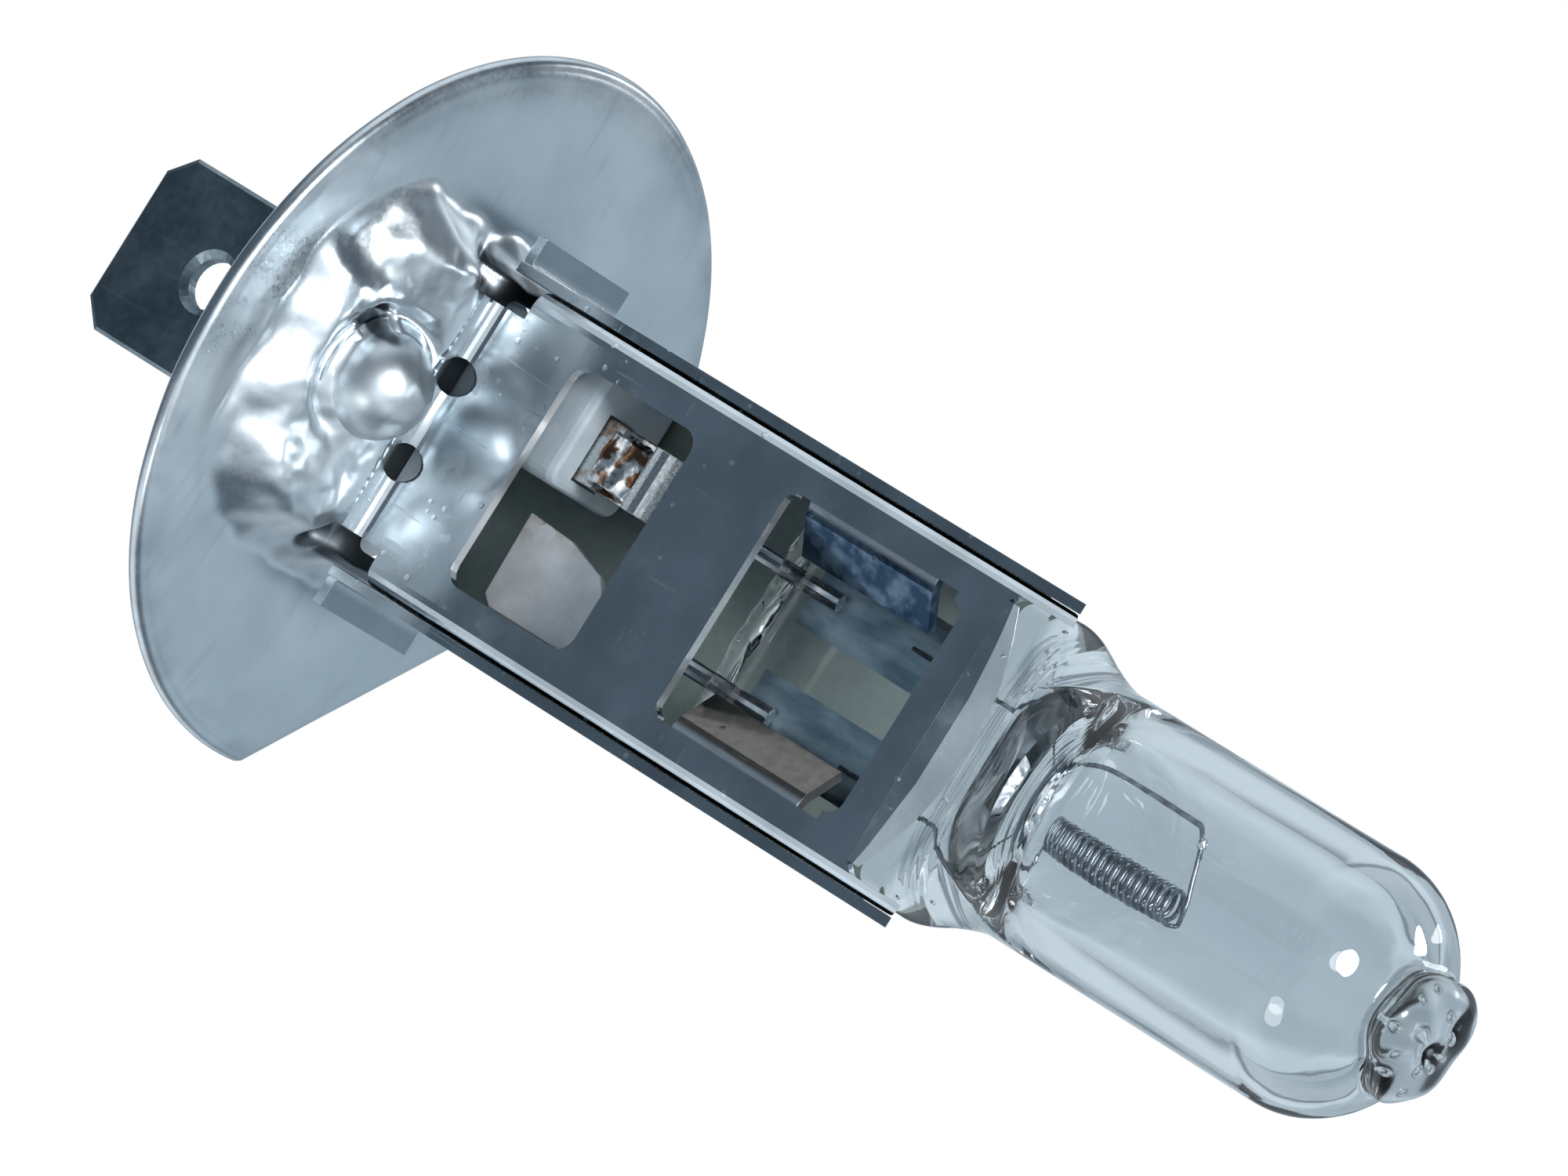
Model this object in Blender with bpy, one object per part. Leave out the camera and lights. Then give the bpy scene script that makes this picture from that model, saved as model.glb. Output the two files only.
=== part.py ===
"""Single-filament H1-type halogen headlight bulb, built as separate pieces.

Frame: +Z runs along the bulb axis from the blade to the glass tip, z = 0 is the
front (reference) face of the flange disc, X is the width of blade and sleeve and
the windows of the sleeve face -Y. Every driving dimension below is in millimetres.
"""

import math

import bmesh
import bpy
from mathutils import Matrix, Vector

MM = 0.001
CLEARANCE = 0.03

# Flange disc and its pressed hub
DISC_RADIUS = 12.2
DISC_SHEET = 0.6
DISC_EDGE_ROUND = 0.12
DISC_FLAT_DISTANCE = 9.3
DISC_FLAT_ANGLE = math.radians(45)
HUB_HALF_X = 6.3
HUB_Y = (-9.5, 6.3)
HUB_CORNER = 3.6
HUB_HEIGHT = 1.4
HUB_FILLET = 0.75
HUB_DOME_RADIUS = 1.72
HUB_DOME_CENTRE = (-0.1, -5.7)
HUB_VENT_RADIUS = 0.6
HUB_VENT_CENTRE = (-1.75, -6.9)
HUB_OPENING_HALF = (4.47, 2.07)

# Sheet-metal sleeve
SHEET = 0.35
SLEEVE_HALF_X = 5.65
SLEEVE_HALF_Y = 3.0
SLEEVE_BASE_Z = 1.45
FRONT_END_Z = 23.6
SIDE_WALL_END_Z = 26.1
SIDE_WALL_SLOPE = -0.9
FRONT_CORNER_RADIUS = 0.6
FRONT_FLANGE_DEPTH = 1.35
FOOT_HALF_X = 4.15
FOOT_REACH = 1.05
FOOT_BEND = 0.7
NOTCH_TOP_Z = 2.9
RELIEF_RADIUS = 0.62
RELIEF_X = 1.55
SIDE_FOOT_WIDTH = 0.95
SIDE_FOOT_HALF_Y = 3.2
LIP_HALF_X = 4.55
LIP_END_Z = 24.75
LIP_DROP = 0.6
LIP_BOW = 0.9

# Windows in the front of the sleeve: (x half-width, z low, z high)
LOWER_WINDOW = (3.9, 5.5, 10.85)
WINDOW_CORNER = 0.6
SLOT_LOW = (3.9, 14.7, 15.6)
SLOT_HIGH = (3.7, 21.0, 22.4)
GRIP_HINGE_X = 4.0
GRIP_EDGE_X = 2.55
GRIP_EDGE_Y = -1.78

# Quartz envelope
TUBE_RADIUS = 4.22
TUBE_INNER_RADIUS = 3.2
TUBE_START_Z = 27.8
TUBE_END_Z = 38.3
DOME_HEIGHT = 3.5
CHAMBER_START_Z = 25.7
CHAMBER_END_Z = 40.6
PINCH_HALF_X = 5.1
PINCH_HALF_Y = 1.3
PINCH_START_Z = 14.5
PINCH_END_Z = 24.2
NUB_RADIUS = 2.15
NUB_END_Z = 42.8
ENVELOPE_FACETS = 48

# Lead-in parts; the live side is at -X, the ground side at +X
LIVE_X = -1.85
GROUND_X = 2.2
LEAD_Y = -0.32
OUTER_LEAD_RADIUS = 0.3
INNER_LEAD_RADIUS = 0.14
OUTER_LEAD_END_Z = 16.9
INNER_LEAD_START_Z = 20.0
FOIL_HALF_X = 1.2
FOIL_THICKNESS = 0.05
FOIL_Z = (15.7, 21.3)
LONG_LEAD_TOP_Z = 32.2
SHORT_LEAD_TOP_Z = 26.9
CLAMP_RADIUS = 0.2
CLAMP_LENGTH = 0.42

# Filament
COIL_X = 0.66
COIL_RADIUS = 0.53
COIL_WIRE_RADIUS = 0.08
COIL_Z = (27.0, 32.7)
COIL_TURNS = 19
COIL_STEPS = 14

# Ceramics, strips and terminal
CORE_X = (-4.4, -0.25)
CORE_HALF_Y = 2.0
CORE_Z = (-0.55, 6.2)
CORE_CORNER = 0.5
CORE_SLOT_GAP = 0.06
BASE_HALF_X = 4.6
BASE_HALF_Y = 2.15
BASE_Z = (-3.4, -0.62)
BASE_CORNER = 0.9
RIVET_X = 2.1
RIVET_Z = -1.9
RIVET_BORE = 0.5
BLADE_HALF_X = 3.15
BLADE_THICKNESS = 0.8
BLADE_END_Z = -14.0
BLADE_TOP_Z = -0.9
BLADE_BEVEL = 0.12
BLADE_CHAMFER = 0.85
BLADE_HOLE_RADIUS = 0.85
BLADE_HOLE_Z = -10.2
NECK_Z = (-3.55, -0.75)
NECK_RELIEF = 0.06
TANG_HALF_X = 1.1
TANG_X = -1.9
TANG_TOP_Z = 5.2
STRIP_THICKNESS = 0.3
STRIP_BACK_Y = LEAD_Y - OUTER_LEAD_RADIUS - 0.05


# ---------------------------------------------------------------- scene helpers

def clear_scene():
    for old in list(bpy.data.objects):
        bpy.data.objects.remove(old, do_unlink=True)


def material(name, colour, metallic, roughness, transmission=0.0):
    made = bpy.data.materials.new(name)
    made.use_nodes = True
    made.diffuse_color = (*colour, 1.0)
    shader = made.node_tree.nodes["Principled BSDF"]
    shader.inputs["Base Color"].default_value = (*colour, 1.0)
    shader.inputs["Metallic"].default_value = metallic
    shader.inputs["Roughness"].default_value = roughness
    shader.inputs["Transmission Weight"].default_value = transmission
    return made


def mesh_object(name, points, faces, finish=None):
    """A closed mesh from points in millimetres, its faces turned outwards."""
    mesh = bpy.data.meshes.new(name)
    mesh.from_pydata([tuple(c * MM for c in p) for p in points], [], faces)
    made = bmesh.new()
    made.from_mesh(mesh)
    bmesh.ops.recalc_face_normals(made, faces=made.faces)
    made.to_mesh(mesh)
    made.free()
    obj = bpy.data.objects.new(name, mesh)
    bpy.context.scene.collection.objects.link(obj)
    if finish:
        mesh.materials.append(finish)
    return obj


def shade(obj, angle=35):
    """Round pieces shade smooth and keep the edges sharper than the angle."""
    obj.data.shade_smooth()
    obj.data.set_sharp_from_angle(angle=math.radians(angle))
    return obj


def combine(target, other, operation):
    """Joins, cuts or intersects the target with the other solid and uses it up."""
    step = target.modifiers.new(operation.title(), "BOOLEAN")
    step.operation = operation
    step.solver = "EXACT"
    step.object = other
    bpy.context.view_layer.update()
    graph = bpy.context.evaluated_depsgraph_get()
    result = bpy.data.meshes.new_from_object(target.evaluated_get(graph))
    target.modifiers.clear()
    target.data = result
    bpy.data.objects.remove(other, do_unlink=True)
    return target


def cut(target, other):
    return combine(target, other, "DIFFERENCE")


def join(target, other):
    return combine(target, other, "UNION")


# ---------------------------------------------------------------- shape helpers

def rounded_rect(half_x, half_y, radius, steps=6, centre=(0.0, 0.0)):
    """Counter-clockwise outline of a rectangle with round corners."""
    points = []
    for sx, sy, start in ((1, 1, 0), (-1, 1, 90), (-1, -1, 180), (1, -1, 270)):
        for i in range(steps + 1):
            angle = math.radians(start + 90 * i / steps)
            points.append((
                centre[0] + sx * (half_x - radius) + radius * math.cos(angle),
                centre[1] + sy * (half_y - radius) + radius * math.sin(angle),
            ))
    return points


def circle(radius, steps, centre=(0.0, 0.0)):
    turn = 2 * math.pi / steps
    return [
        (centre[0] + radius * math.cos(i * turn), centre[1] + radius * math.sin(i * turn))
        for i in range(steps)
    ]


def loft(name, rings, finish=None):
    """A solid through rings of equal point count, closed at both ends."""
    count = len(rings[0])
    points = [p for ring in rings for p in ring]
    faces = [tuple(range(count))]
    for r in range(len(rings) - 1):
        for i in range(count):
            j = (i + 1) % count
            a, b = r * count, (r + 1) * count
            faces.append((a + i, a + j, b + j, b + i))
    last = (len(rings) - 1) * count
    faces.append(tuple(reversed(range(last, last + count))))
    return mesh_object(name, points, faces, finish)


def prism_z(name, outline, low, high, finish=None):
    return loft(name, [[(x, y, z) for x, y in outline] for z in (low, high)], finish)


def prism_y(name, outline, low, high, finish=None):
    """A solid from an outline in X and Z, running along Y."""
    return loft(name, [[(x, y, z) for x, z in outline] for y in (low, high)], finish)


def prism_x(name, outline, low, high, finish=None):
    """A solid from an outline in Y and Z, running along X."""
    return loft(name, [[(x, y, z) for y, z in outline] for x in (low, high)], finish)


def box(name, x, y, z, finish=None):
    outline = [(x[0], y[0]), (x[1], y[0]), (x[1], y[1]), (x[0], y[1])]
    return prism_z(name, outline, z[0], z[1], finish)


def tube(name, path, radius, sides=10, finish=None):
    """A round wire along a path of points, with flat ends."""
    path = [Vector(p) for p in path]
    radii = radius if isinstance(radius, (list, tuple)) else [radius] * len(path)
    tangents = []
    for i in range(len(path)):
        tangents.append((path[min(i + 1, len(path) - 1)] - path[max(i - 1, 0)]).normalized())
    normal = tangents[0].orthogonal().normalized()
    rings = []
    for point, tangent, r in zip(path, tangents, radii):
        normal = (normal - tangent * normal.dot(tangent)).normalized()
        side = tangent.cross(normal)
        rings.append([
            tuple(point + r * (math.cos(a) * normal + math.sin(a) * side))
            for a in (2 * math.pi * k / sides for k in range(sides))
        ])
    return loft(name, rings, finish)


def rounded_path(corners, radius, steps=5):
    """A polyline whose inner corners are replaced by arcs."""
    corners = [Vector(c) for c in corners]
    path = [corners[0]]
    for before, corner, after in zip(corners, corners[1:], corners[2:]):
        into, out = (before - corner).normalized(), (after - corner).normalized()
        reach = min(radius, 0.45 * min((before - corner).length, (after - corner).length))
        start, end = corner + into * reach, corner + out * reach
        for i in range(steps + 1):
            t = i / steps
            path.append((1 - t) ** 2 * start + 2 * t * (1 - t) * corner + t * t * end)
    path.append(corners[-1])
    return [tuple(p) for p in path]


def thicken(centreline, thickness):
    """Closed outline of a bent sheet from its open centreline in a plane."""
    left, right = [], []
    last = len(centreline) - 1
    for i, (u, v) in enumerate(centreline):
        before, after = centreline[max(i - 1, 0)], centreline[min(i + 1, last)]
        du, dv = after[0] - before[0], after[1] - before[1]
        size = math.hypot(du, dv)
        nu, nv = -dv / size * thickness / 2, du / size * thickness / 2
        left.append((u + nu, v + nv))
        right.append((u - nu, v - nv))
    return left + right[::-1]


def arc(centre, radius, start, end, steps):
    return [
        (centre[0] + radius * math.cos(math.radians(start + (end - start) * i / steps)),
         centre[1] + radius * math.sin(math.radians(start + (end - start) * i / steps)))
        for i in range(steps + 1)
    ]


# ---------------------------------------------------------------- flange disc

def disc_outline(inset, steps=96):
    """Circle with one straight flat whose two corners are slightly rounded."""
    power = 60
    points = []
    for i in range(steps):
        angle = 2 * math.pi * i / steps
        facing = math.cos(angle - DISC_FLAT_ANGLE)
        radius = DISC_RADIUS - inset
        if facing > 0.4:
            straight = (DISC_FLAT_DISTANCE - inset) / facing
            radius = (radius ** -power + straight ** -power) ** (-1 / power)
        points.append((radius * math.cos(angle), radius * math.sin(angle)))
    return points


def disc_plate(finish):
    levels = (
        (-DISC_SHEET, DISC_EDGE_ROUND),
        (-DISC_SHEET + 0.3 * DISC_EDGE_ROUND, 0.3 * DISC_EDGE_ROUND),
        (-DISC_SHEET + DISC_EDGE_ROUND, 0.0),
        (-DISC_EDGE_ROUND, 0.0),
        (-0.3 * DISC_EDGE_ROUND, 0.3 * DISC_EDGE_ROUND),
        (0.0, DISC_EDGE_ROUND),
    )
    return loft("flange_disc", [[(x, y, z) for x, y in disc_outline(i)] for z, i in levels], finish)


def hub_solid(name, inset, drop, bottom):
    """The pressed hub as a solid: concave foot fillet, then a round shoulder."""
    profile = []
    for beta in (22, 42, 62, 82):
        turn = math.radians(beta)
        profile.append((HUB_FILLET * (1 - math.sin(turn)), HUB_FILLET * (1 - math.cos(turn))))
    rise = HUB_HEIGHT - HUB_FILLET
    for beta in (80, 60, 40, 20, 0):
        turn = math.radians(beta)
        profile.append((
            -rise * (1 - math.sin(turn)), HUB_HEIGHT - rise * (1 - math.cos(turn))
        ))
    profile.insert(0, (profile[0][0], bottom + drop))
    centre, half_y = (0.0, (HUB_Y[0] + HUB_Y[1]) / 2), (HUB_Y[1] - HUB_Y[0]) / 2
    rings = []
    for offset, z in profile:
        grow = offset - inset
        outline = rounded_rect(HUB_HALF_X + grow, half_y + grow, HUB_CORNER + grow, 6, centre)
        rings.append([(x, y, z - drop) for x, y in outline])
    return loft(name, rings)


def dome_solid(name, radius, base_z):
    """A pressed hemispherical boss with a short neck below its equator."""
    rings = [[(x, y, base_z) for x, y in circle(radius, 24, HUB_DOME_CENTRE)]]
    for angle in (0, 18, 36, 54, 72, 86):
        turn = math.radians(angle)
        ring = circle(radius * math.cos(turn), 24, HUB_DOME_CENTRE)
        rings.append([(x, y, HUB_HEIGHT - 0.05 + radius * math.sin(turn)) for x, y in ring])
    return loft(name, rings)


def build_flange_disc(finish):
    disc = disc_plate(finish)
    join(disc, hub_solid("hub", 0.0, 0.0, -0.3))
    join(disc, dome_solid("dome", HUB_DOME_RADIUS, 1.0))
    cut(disc, hub_solid("hub_hollow", 0.5, 0.55, -1.2))
    cut(disc, dome_solid("dome_hollow", HUB_DOME_RADIUS - 0.45, 0.3))
    opening = rounded_rect(*HUB_OPENING_HALF, 0.6, 3)
    cut(disc, prism_z("opening", opening, -2, 3))
    cut(disc, prism_z("vent", circle(HUB_VENT_RADIUS, 20, HUB_VENT_CENTRE), -2, 3))
    return shade(disc)


# ---------------------------------------------------------------- sleeve

def front_section():
    """Centreline in X and Y of the front plate with its two short side flanges."""
    half = SHEET / 2
    side = SLEEVE_HALF_X - SHEET - CLEARANCE - half
    front = -SLEEVE_HALF_Y + half
    back = -SLEEVE_HALF_Y + FRONT_FLANGE_DEPTH
    radius = FRONT_CORNER_RADIUS - half
    left = arc((-side + radius, front + radius), radius, 180, 270, 5)
    right = arc((side - radius, front + radius), radius, 270, 360, 5)
    return [(-side, back), *left, *right, (side, back)]


def foot_section():
    """Centreline in Y and Z: the plate bends forward at its base to lie on the hub."""
    half = SHEET / 2
    plate_y = -SLEEVE_HALF_Y + half
    floor = SLEEVE_BASE_Z + half
    bend = arc((plate_y - FOOT_BEND, floor + FOOT_BEND), FOOT_BEND, 0, -90, 6)
    toe = (plate_y - FOOT_REACH, floor)
    return [(plate_y, NOTCH_TOP_Z + 0.6), *bend, toe]


def lip_end_z(x):
    """Height of the lip's bowed edge, highest in the middle."""
    return LIP_END_Z - LIP_BOW * (x / LIP_HALF_X) ** 2


def front_lip():
    """Bent end of the front plate, pressed down towards the glass shoulder."""
    plate_y = -SLEEVE_HALF_Y + SHEET / 2
    rings = []
    steps = 12
    for i in range(steps + 1):
        x = LIP_HALF_X * (2 * i / steps - 1)
        rise = lip_end_z(x) - FRONT_END_Z
        drop = LIP_DROP * rise / (LIP_END_Z - FRONT_END_Z)
        path = [
            (plate_y, FRONT_END_Z - 0.4),
            (plate_y, FRONT_END_Z),
            (plate_y + 0.35 * drop, FRONT_END_Z + 0.4 * rise),
            (plate_y + drop, FRONT_END_Z + rise),
        ]
        rings.append([(x, y, z) for y, z in thicken(path, SHEET)])
    return loft("lip", rings)


def front_end_cutter():
    """Takes away the front plate beyond its end, between the two side flanges."""
    edge, top = LIP_HALF_X + 0.3, SIDE_WALL_END_Z + 1
    outline = [
        (-LIP_HALF_X, FRONT_END_Z), (LIP_HALF_X, FRONT_END_Z), (edge, FRONT_END_Z + 0.3),
        (edge, top), (-edge, top), (-edge, FRONT_END_Z + 0.3),
    ]
    return prism_y("front_end", outline, -SLEEVE_HALF_Y - 1, -SLEEVE_HALF_Y + 1.6)


def slanted_end_cutter():
    """Everything above a plane that falls from the front edge of the side walls to the back."""
    front, back = -SLEEVE_HALF_Y - 1, SLEEVE_HALF_Y + 1
    outline = [
        (front, SIDE_WALL_END_Z - SIDE_WALL_SLOPE), (front, SIDE_WALL_END_Z + 5),
        (back, SIDE_WALL_END_Z + 5), (back, SIDE_WALL_END_Z + (back + SLEEVE_HALF_Y) * SIDE_WALL_SLOPE),
    ]
    return prism_x("slanted_end", outline, -SLEEVE_HALF_X - 2, SLEEVE_HALF_X + 2)


def xz_rect(half_x, low, high, radius):
    centre = (0.0, (low + high) / 2)
    return rounded_rect(half_x, (high - low) / 2, radius, 4, centre)


def grip_tongue(side):
    """A flap of the front plate pressed in until its edge holds the pinch."""
    half = SHEET / 2
    hinge_y = -SLEEVE_HALF_Y + half
    path = [
        (side * (GRIP_HINGE_X + 0.35), hinge_y),
        (side * GRIP_HINGE_X, hinge_y),
        (side * (GRIP_HINGE_X - 0.35), hinge_y + 0.12),
        (side * GRIP_EDGE_X, GRIP_EDGE_Y),
    ]
    outline = thicken(path, SHEET)
    low, high = SLOT_LOW[2], SLOT_HIGH[1]
    return prism_z("tongue", outline, low, high)


def build_sleeve_front(finish):
    plate = prism_z(
        "sleeve_front", thicken(front_section(), SHEET), NOTCH_TOP_Z, SIDE_WALL_END_Z + 1, finish
    )
    cut(plate, front_end_cutter())
    cut(plate, slanted_end_cutter())
    join(plate, prism_x("foot", thicken(foot_section(), SHEET), -FOOT_HALF_X, FOOT_HALF_X))
    join(plate, front_lip())
    reach = (-SLEEVE_HALF_Y - 1, -SLEEVE_HALF_Y + 1.2)
    cut(plate, prism_y("lower_window", xz_rect(*LOWER_WINDOW, WINDOW_CORNER), *reach))
    slot_low = xz_rect(*SLOT_LOW, 0.35)
    slot_high = xz_rect(*SLOT_HIGH, 0.5)
    neck = xz_rect(GRIP_HINGE_X, SLOT_LOW[1] + 0.3, SLOT_HIGH[2] - 0.5, 0.05)
    cut(plate, prism_y("slot_low", slot_low, *reach))
    cut(plate, prism_y("slot_high", slot_high, *reach))
    cut(plate, prism_y("neck", neck, *reach))
    for side in (-1, 1):
        join(plate, grip_tongue(side))
        hole = prism_z("relief", circle(RELIEF_RADIUS, 18), -2.5, 2.5)
        hole.data.transform(Matrix.Rotation(math.radians(45), 4, "X"))
        spot = (side * RELIEF_X, -SLEEVE_HALF_Y - 0.1, SLEEVE_BASE_Z + 0.45)
        hole.data.transform(Matrix.Translation(Vector(spot) * MM))
        cut(plate, hole)
    return shade(plate)


def rear_section(depth):
    """Centreline in X and Y of the rear wall with its two side walls."""
    half = SHEET / 2
    side, rear = SLEEVE_HALF_X - half, SLEEVE_HALF_Y - half
    radius = 0.6
    right = arc((side - radius, rear - radius), radius, 0, 90, 5)
    left = arc((-side + radius, rear - radius), radius, 90, 180, 5)
    return [(side, depth), *right, *left, (-side, depth)]


def side_foot(side):
    """The side wall's foot, bent outwards to lie on the hub."""
    half = SHEET / 2
    wall = SLEEVE_HALF_X - half
    floor = SLEEVE_BASE_Z + half
    bend = [(wall, floor + 1.0), (wall, floor + 0.3), (wall + 0.09, floor + 0.09), (wall + 0.3, floor),
            (wall + half + SIDE_FOOT_WIDTH, floor)]
    outline = thicken([(side * x, z) for x, z in bend], SHEET)
    return prism_y("side_foot", outline, -SIDE_FOOT_HALF_Y + 0.55, SIDE_FOOT_HALF_Y - 0.75)


def build_sleeve_rear(finish):
    front_edge = -SLEEVE_HALF_Y + 0.25
    shell = prism_z(
        "sleeve_rear", thicken(rear_section(front_edge), SHEET), SLEEVE_BASE_Z, SIDE_WALL_END_Z + 1, finish
    )
    cut(shell, slanted_end_cutter())
    for side in (-1, 1):
        join(shell, side_foot(side))
    return shade(shell)


# ---------------------------------------------------------------- glass

def envelope_ring(half_x, half_y, squareness, z, facets=ENVELOPE_FACETS):
    """A section between a circle (squareness 2) and a flat slab (larger values)."""
    ring = []
    for i in range(facets):
        angle = 2 * math.pi * i / facets
        c, s = math.cos(angle), math.sin(angle)
        ring.append((
            half_x * math.copysign(abs(c) ** (2 / squareness), c),
            half_y * math.copysign(abs(s) ** (2 / squareness), s),
            z,
        ))
    return ring


def slab_ring(half_x, half_y, radius, z):
    steps = ENVELOPE_FACETS // 4 - 1
    return [(x, y, z) for x, y in rounded_rect(half_x, half_y, radius, steps)]


def envelope_outside():
    span = TUBE_START_Z - PINCH_END_Z
    rings = [
        slab_ring(PINCH_HALF_X - 0.35, PINCH_HALF_Y - 0.35, 0.6, PINCH_START_Z),
        slab_ring(PINCH_HALF_X, PINCH_HALF_Y, 0.8, PINCH_START_Z + 0.35),
        slab_ring(PINCH_HALF_X, PINCH_HALF_Y, 0.8, PINCH_END_Z - 0.2),
    ]
    for step in range(1, 8):
        t = step / 8
        ease = t * t * (3 - 2 * t)
        half_x = PINCH_HALF_X + (TUBE_RADIUS - PINCH_HALF_X) * math.sin(t * math.pi / 2)
        half_y = PINCH_HALF_Y + 0.1 + (TUBE_RADIUS - PINCH_HALF_Y - 0.1) * ease ** 0.8
        radius = min(0.8 + (TUBE_RADIUS - 0.8) * ease ** 0.6, half_y - 0.01, half_x - 0.01)
        rings.append(slab_ring(half_x, half_y, radius, PINCH_END_Z + span * t))
    for z in (TUBE_START_Z, TUBE_END_Z):
        rings.append(slab_ring(TUBE_RADIUS, TUBE_RADIUS, TUBE_RADIUS - 1e-3, z))
    for angle in (15, 30, 43, 54, 60):
        turn = math.radians(angle)
        r = TUBE_RADIUS * math.cos(turn)
        rings.append(slab_ring(r, r, r - 1e-3, TUBE_END_Z + DOME_HEIGHT * math.sin(turn)))
    end = NUB_END_Z
    for r, z in ((2.02, end - 1.2), (2.15, end - 0.95), (2.1, end - 0.65), (1.8, end - 0.3),
                 (1.3, end - 0.1), (0.7, end - 0.02), (0.25, end)):
        rings.append(slab_ring(r * NUB_RADIUS / 2.15, r * NUB_RADIUS / 2.15, r - 2e-3, z))
    return rings


def chamber():
    """The gas space inside the tube: flat where it leaves the pinch, then round."""
    rings = []
    for half_x, half_y, power, z in (
        (1.6, 0.35, 2.6, CHAMBER_START_Z),
        (2.5, 0.8, 2.4, CHAMBER_START_Z + 0.35),
        (2.95, 1.6, 2.2, CHAMBER_START_Z + 1.0),
        (3.1, 2.5, 2.0, CHAMBER_START_Z + 2.0),
        (TUBE_INNER_RADIUS, 3.05, 2.0, CHAMBER_START_Z + 3.0),
        (TUBE_INNER_RADIUS, TUBE_INNER_RADIUS, 2.0, CHAMBER_START_Z + 4.0),
        (TUBE_INNER_RADIUS, TUBE_INNER_RADIUS, 2.0, TUBE_END_Z - 0.2),
        (2.95, 2.95, 2.0, CHAMBER_END_Z - 1.6),
        (2.35, 2.35, 2.0, CHAMBER_END_Z - 0.8),
        (1.5, 1.5, 2.0, CHAMBER_END_Z - 0.3),
        (0.6, 0.6, 2.0, CHAMBER_END_Z),
    ):
        rings.append(envelope_ring(half_x, half_y, power, z, 32))
    return loft("chamber", rings)


def build_envelope(finish):
    glass = loft("quartz_envelope", envelope_outside(), finish)
    cut(glass, chamber())
    gap = CLEARANCE
    for x in (LIVE_X, GROUND_X):
        pocket = ((x - FOIL_HALF_X - gap, x + FOIL_HALF_X + gap),
                  (-FOIL_THICKNESS / 2 - gap, FOIL_THICKNESS / 2 + gap),
                  (FOIL_Z[0] - gap, FOIL_Z[1] + gap))
        cut(glass, box("foil_pocket", *pocket))
        low = [(x, LEAD_Y, PINCH_START_Z - 1), (x, LEAD_Y, OUTER_LEAD_END_Z + gap)]
        cut(glass, tube("outer_bore", low, OUTER_LEAD_RADIUS + gap + 0.02, 12))
    for path in (long_lead_path(), short_lead_path()):
        start = Vector(path[0]) - Vector((0, 0, gap))
        bore = [tuple(start), *path[1:]]
        cut(glass, tube("inner_bore", bore, INNER_LEAD_RADIUS + gap + 0.02, 12))
        x = path[0][0]
        link = ((x - 0.1, x + 0.1), (LEAD_Y, 0.0))
        cut(glass, box("inner_link", *link, (INNER_LEAD_START_Z + 0.1, FOIL_Z[1] - 0.3)))
        cut(glass, box("outer_link", *link, (FOIL_Z[0] + 0.2, OUTER_LEAD_END_Z - 0.2)))
    return shade(glass, 30)


# ---------------------------------------------------------------- lead-in parts

def build_foil(name, x, finish):
    outline = [(x - FOIL_HALF_X, 0.0), (x - 0.8 * FOIL_HALF_X, FOIL_THICKNESS / 2),
               (x + 0.8 * FOIL_HALF_X, FOIL_THICKNESS / 2), (x + FOIL_HALF_X, 0.0),
               (x + 0.8 * FOIL_HALF_X, -FOIL_THICKNESS / 2),
               (x - 0.8 * FOIL_HALF_X, -FOIL_THICKNESS / 2)]
    return prism_z(name, outline, *FOIL_Z, finish)


def long_lead_path():
    return rounded_path([
        (LIVE_X, LEAD_Y, INNER_LEAD_START_Z),
        (LIVE_X, LEAD_Y, CHAMBER_START_Z - 1.2),
        (LIVE_X, 0.0, CHAMBER_START_Z + 0.6),
        (LIVE_X, 0.0, LONG_LEAD_TOP_Z - 0.35),
        (LIVE_X + 0.3, 0.0, LONG_LEAD_TOP_Z),
    ], 0.6)


def short_lead_path():
    return rounded_path([
        (GROUND_X + 0.15, LEAD_Y, INNER_LEAD_START_Z),
        (GROUND_X + 0.15, LEAD_Y, CHAMBER_START_Z - 1.2),
        (GROUND_X + 0.2, 0.0, CHAMBER_START_Z + 0.4),
        (GROUND_X - 0.05, 0.0, SHORT_LEAD_TOP_Z - 0.3),
        (GROUND_X - 0.35, 0.0, SHORT_LEAD_TOP_Z),
    ], 0.5)


def build_clamp(name, start, direction, finish):
    """A small crimped bead that joins a lead to the filament's tail."""
    start, direction = Vector(start), Vector(direction).normalized()
    stations = (0.0, 0.12, 0.3, 0.5, 0.7, 0.88, 1.0)
    widths = (0.5, 0.8, 0.97, 1.0, 0.97, 0.8, 0.5)
    path = [tuple(start + direction * CLAMP_LENGTH * s) for s in stations]
    return shade(tube(name, path, [CLAMP_RADIUS * w for w in widths], 12, finish), 50)


def filament_path():
    """Tail, coil and tail as one continuous wire."""
    low, high = COIL_Z
    path = []
    total = COIL_TURNS * COIL_STEPS
    for i in range(total + 1):
        angle = 2 * math.pi * i / COIL_STEPS
        z = low + (high - low) * i / total
        path.append((COIL_X + COIL_RADIUS * math.cos(angle), COIL_RADIUS * math.sin(angle), z))
    short_end = Vector(short_lead_path()[-1])
    long_end = Vector(long_lead_path()[-1])
    first = [
        tuple(short_end + Vector((-CLAMP_LENGTH - 0.13, 0, 0.12))),
        (COIL_X + COIL_RADIUS + 0.06, -0.1, low - 0.05),
    ]
    last = [
        (COIL_X + COIL_RADIUS - 0.12, 0.3, high + 0.14),
        (COIL_X, 0.25, high + 0.22),
        tuple(long_end + Vector((CLAMP_LENGTH + 0.13, 0, 0.22))),
    ]
    return [*first, *path, *last]


def build_filament(finish):
    return shade(tube("filament", filament_path(), COIL_WIRE_RADIUS, 6, finish), 80)


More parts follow.
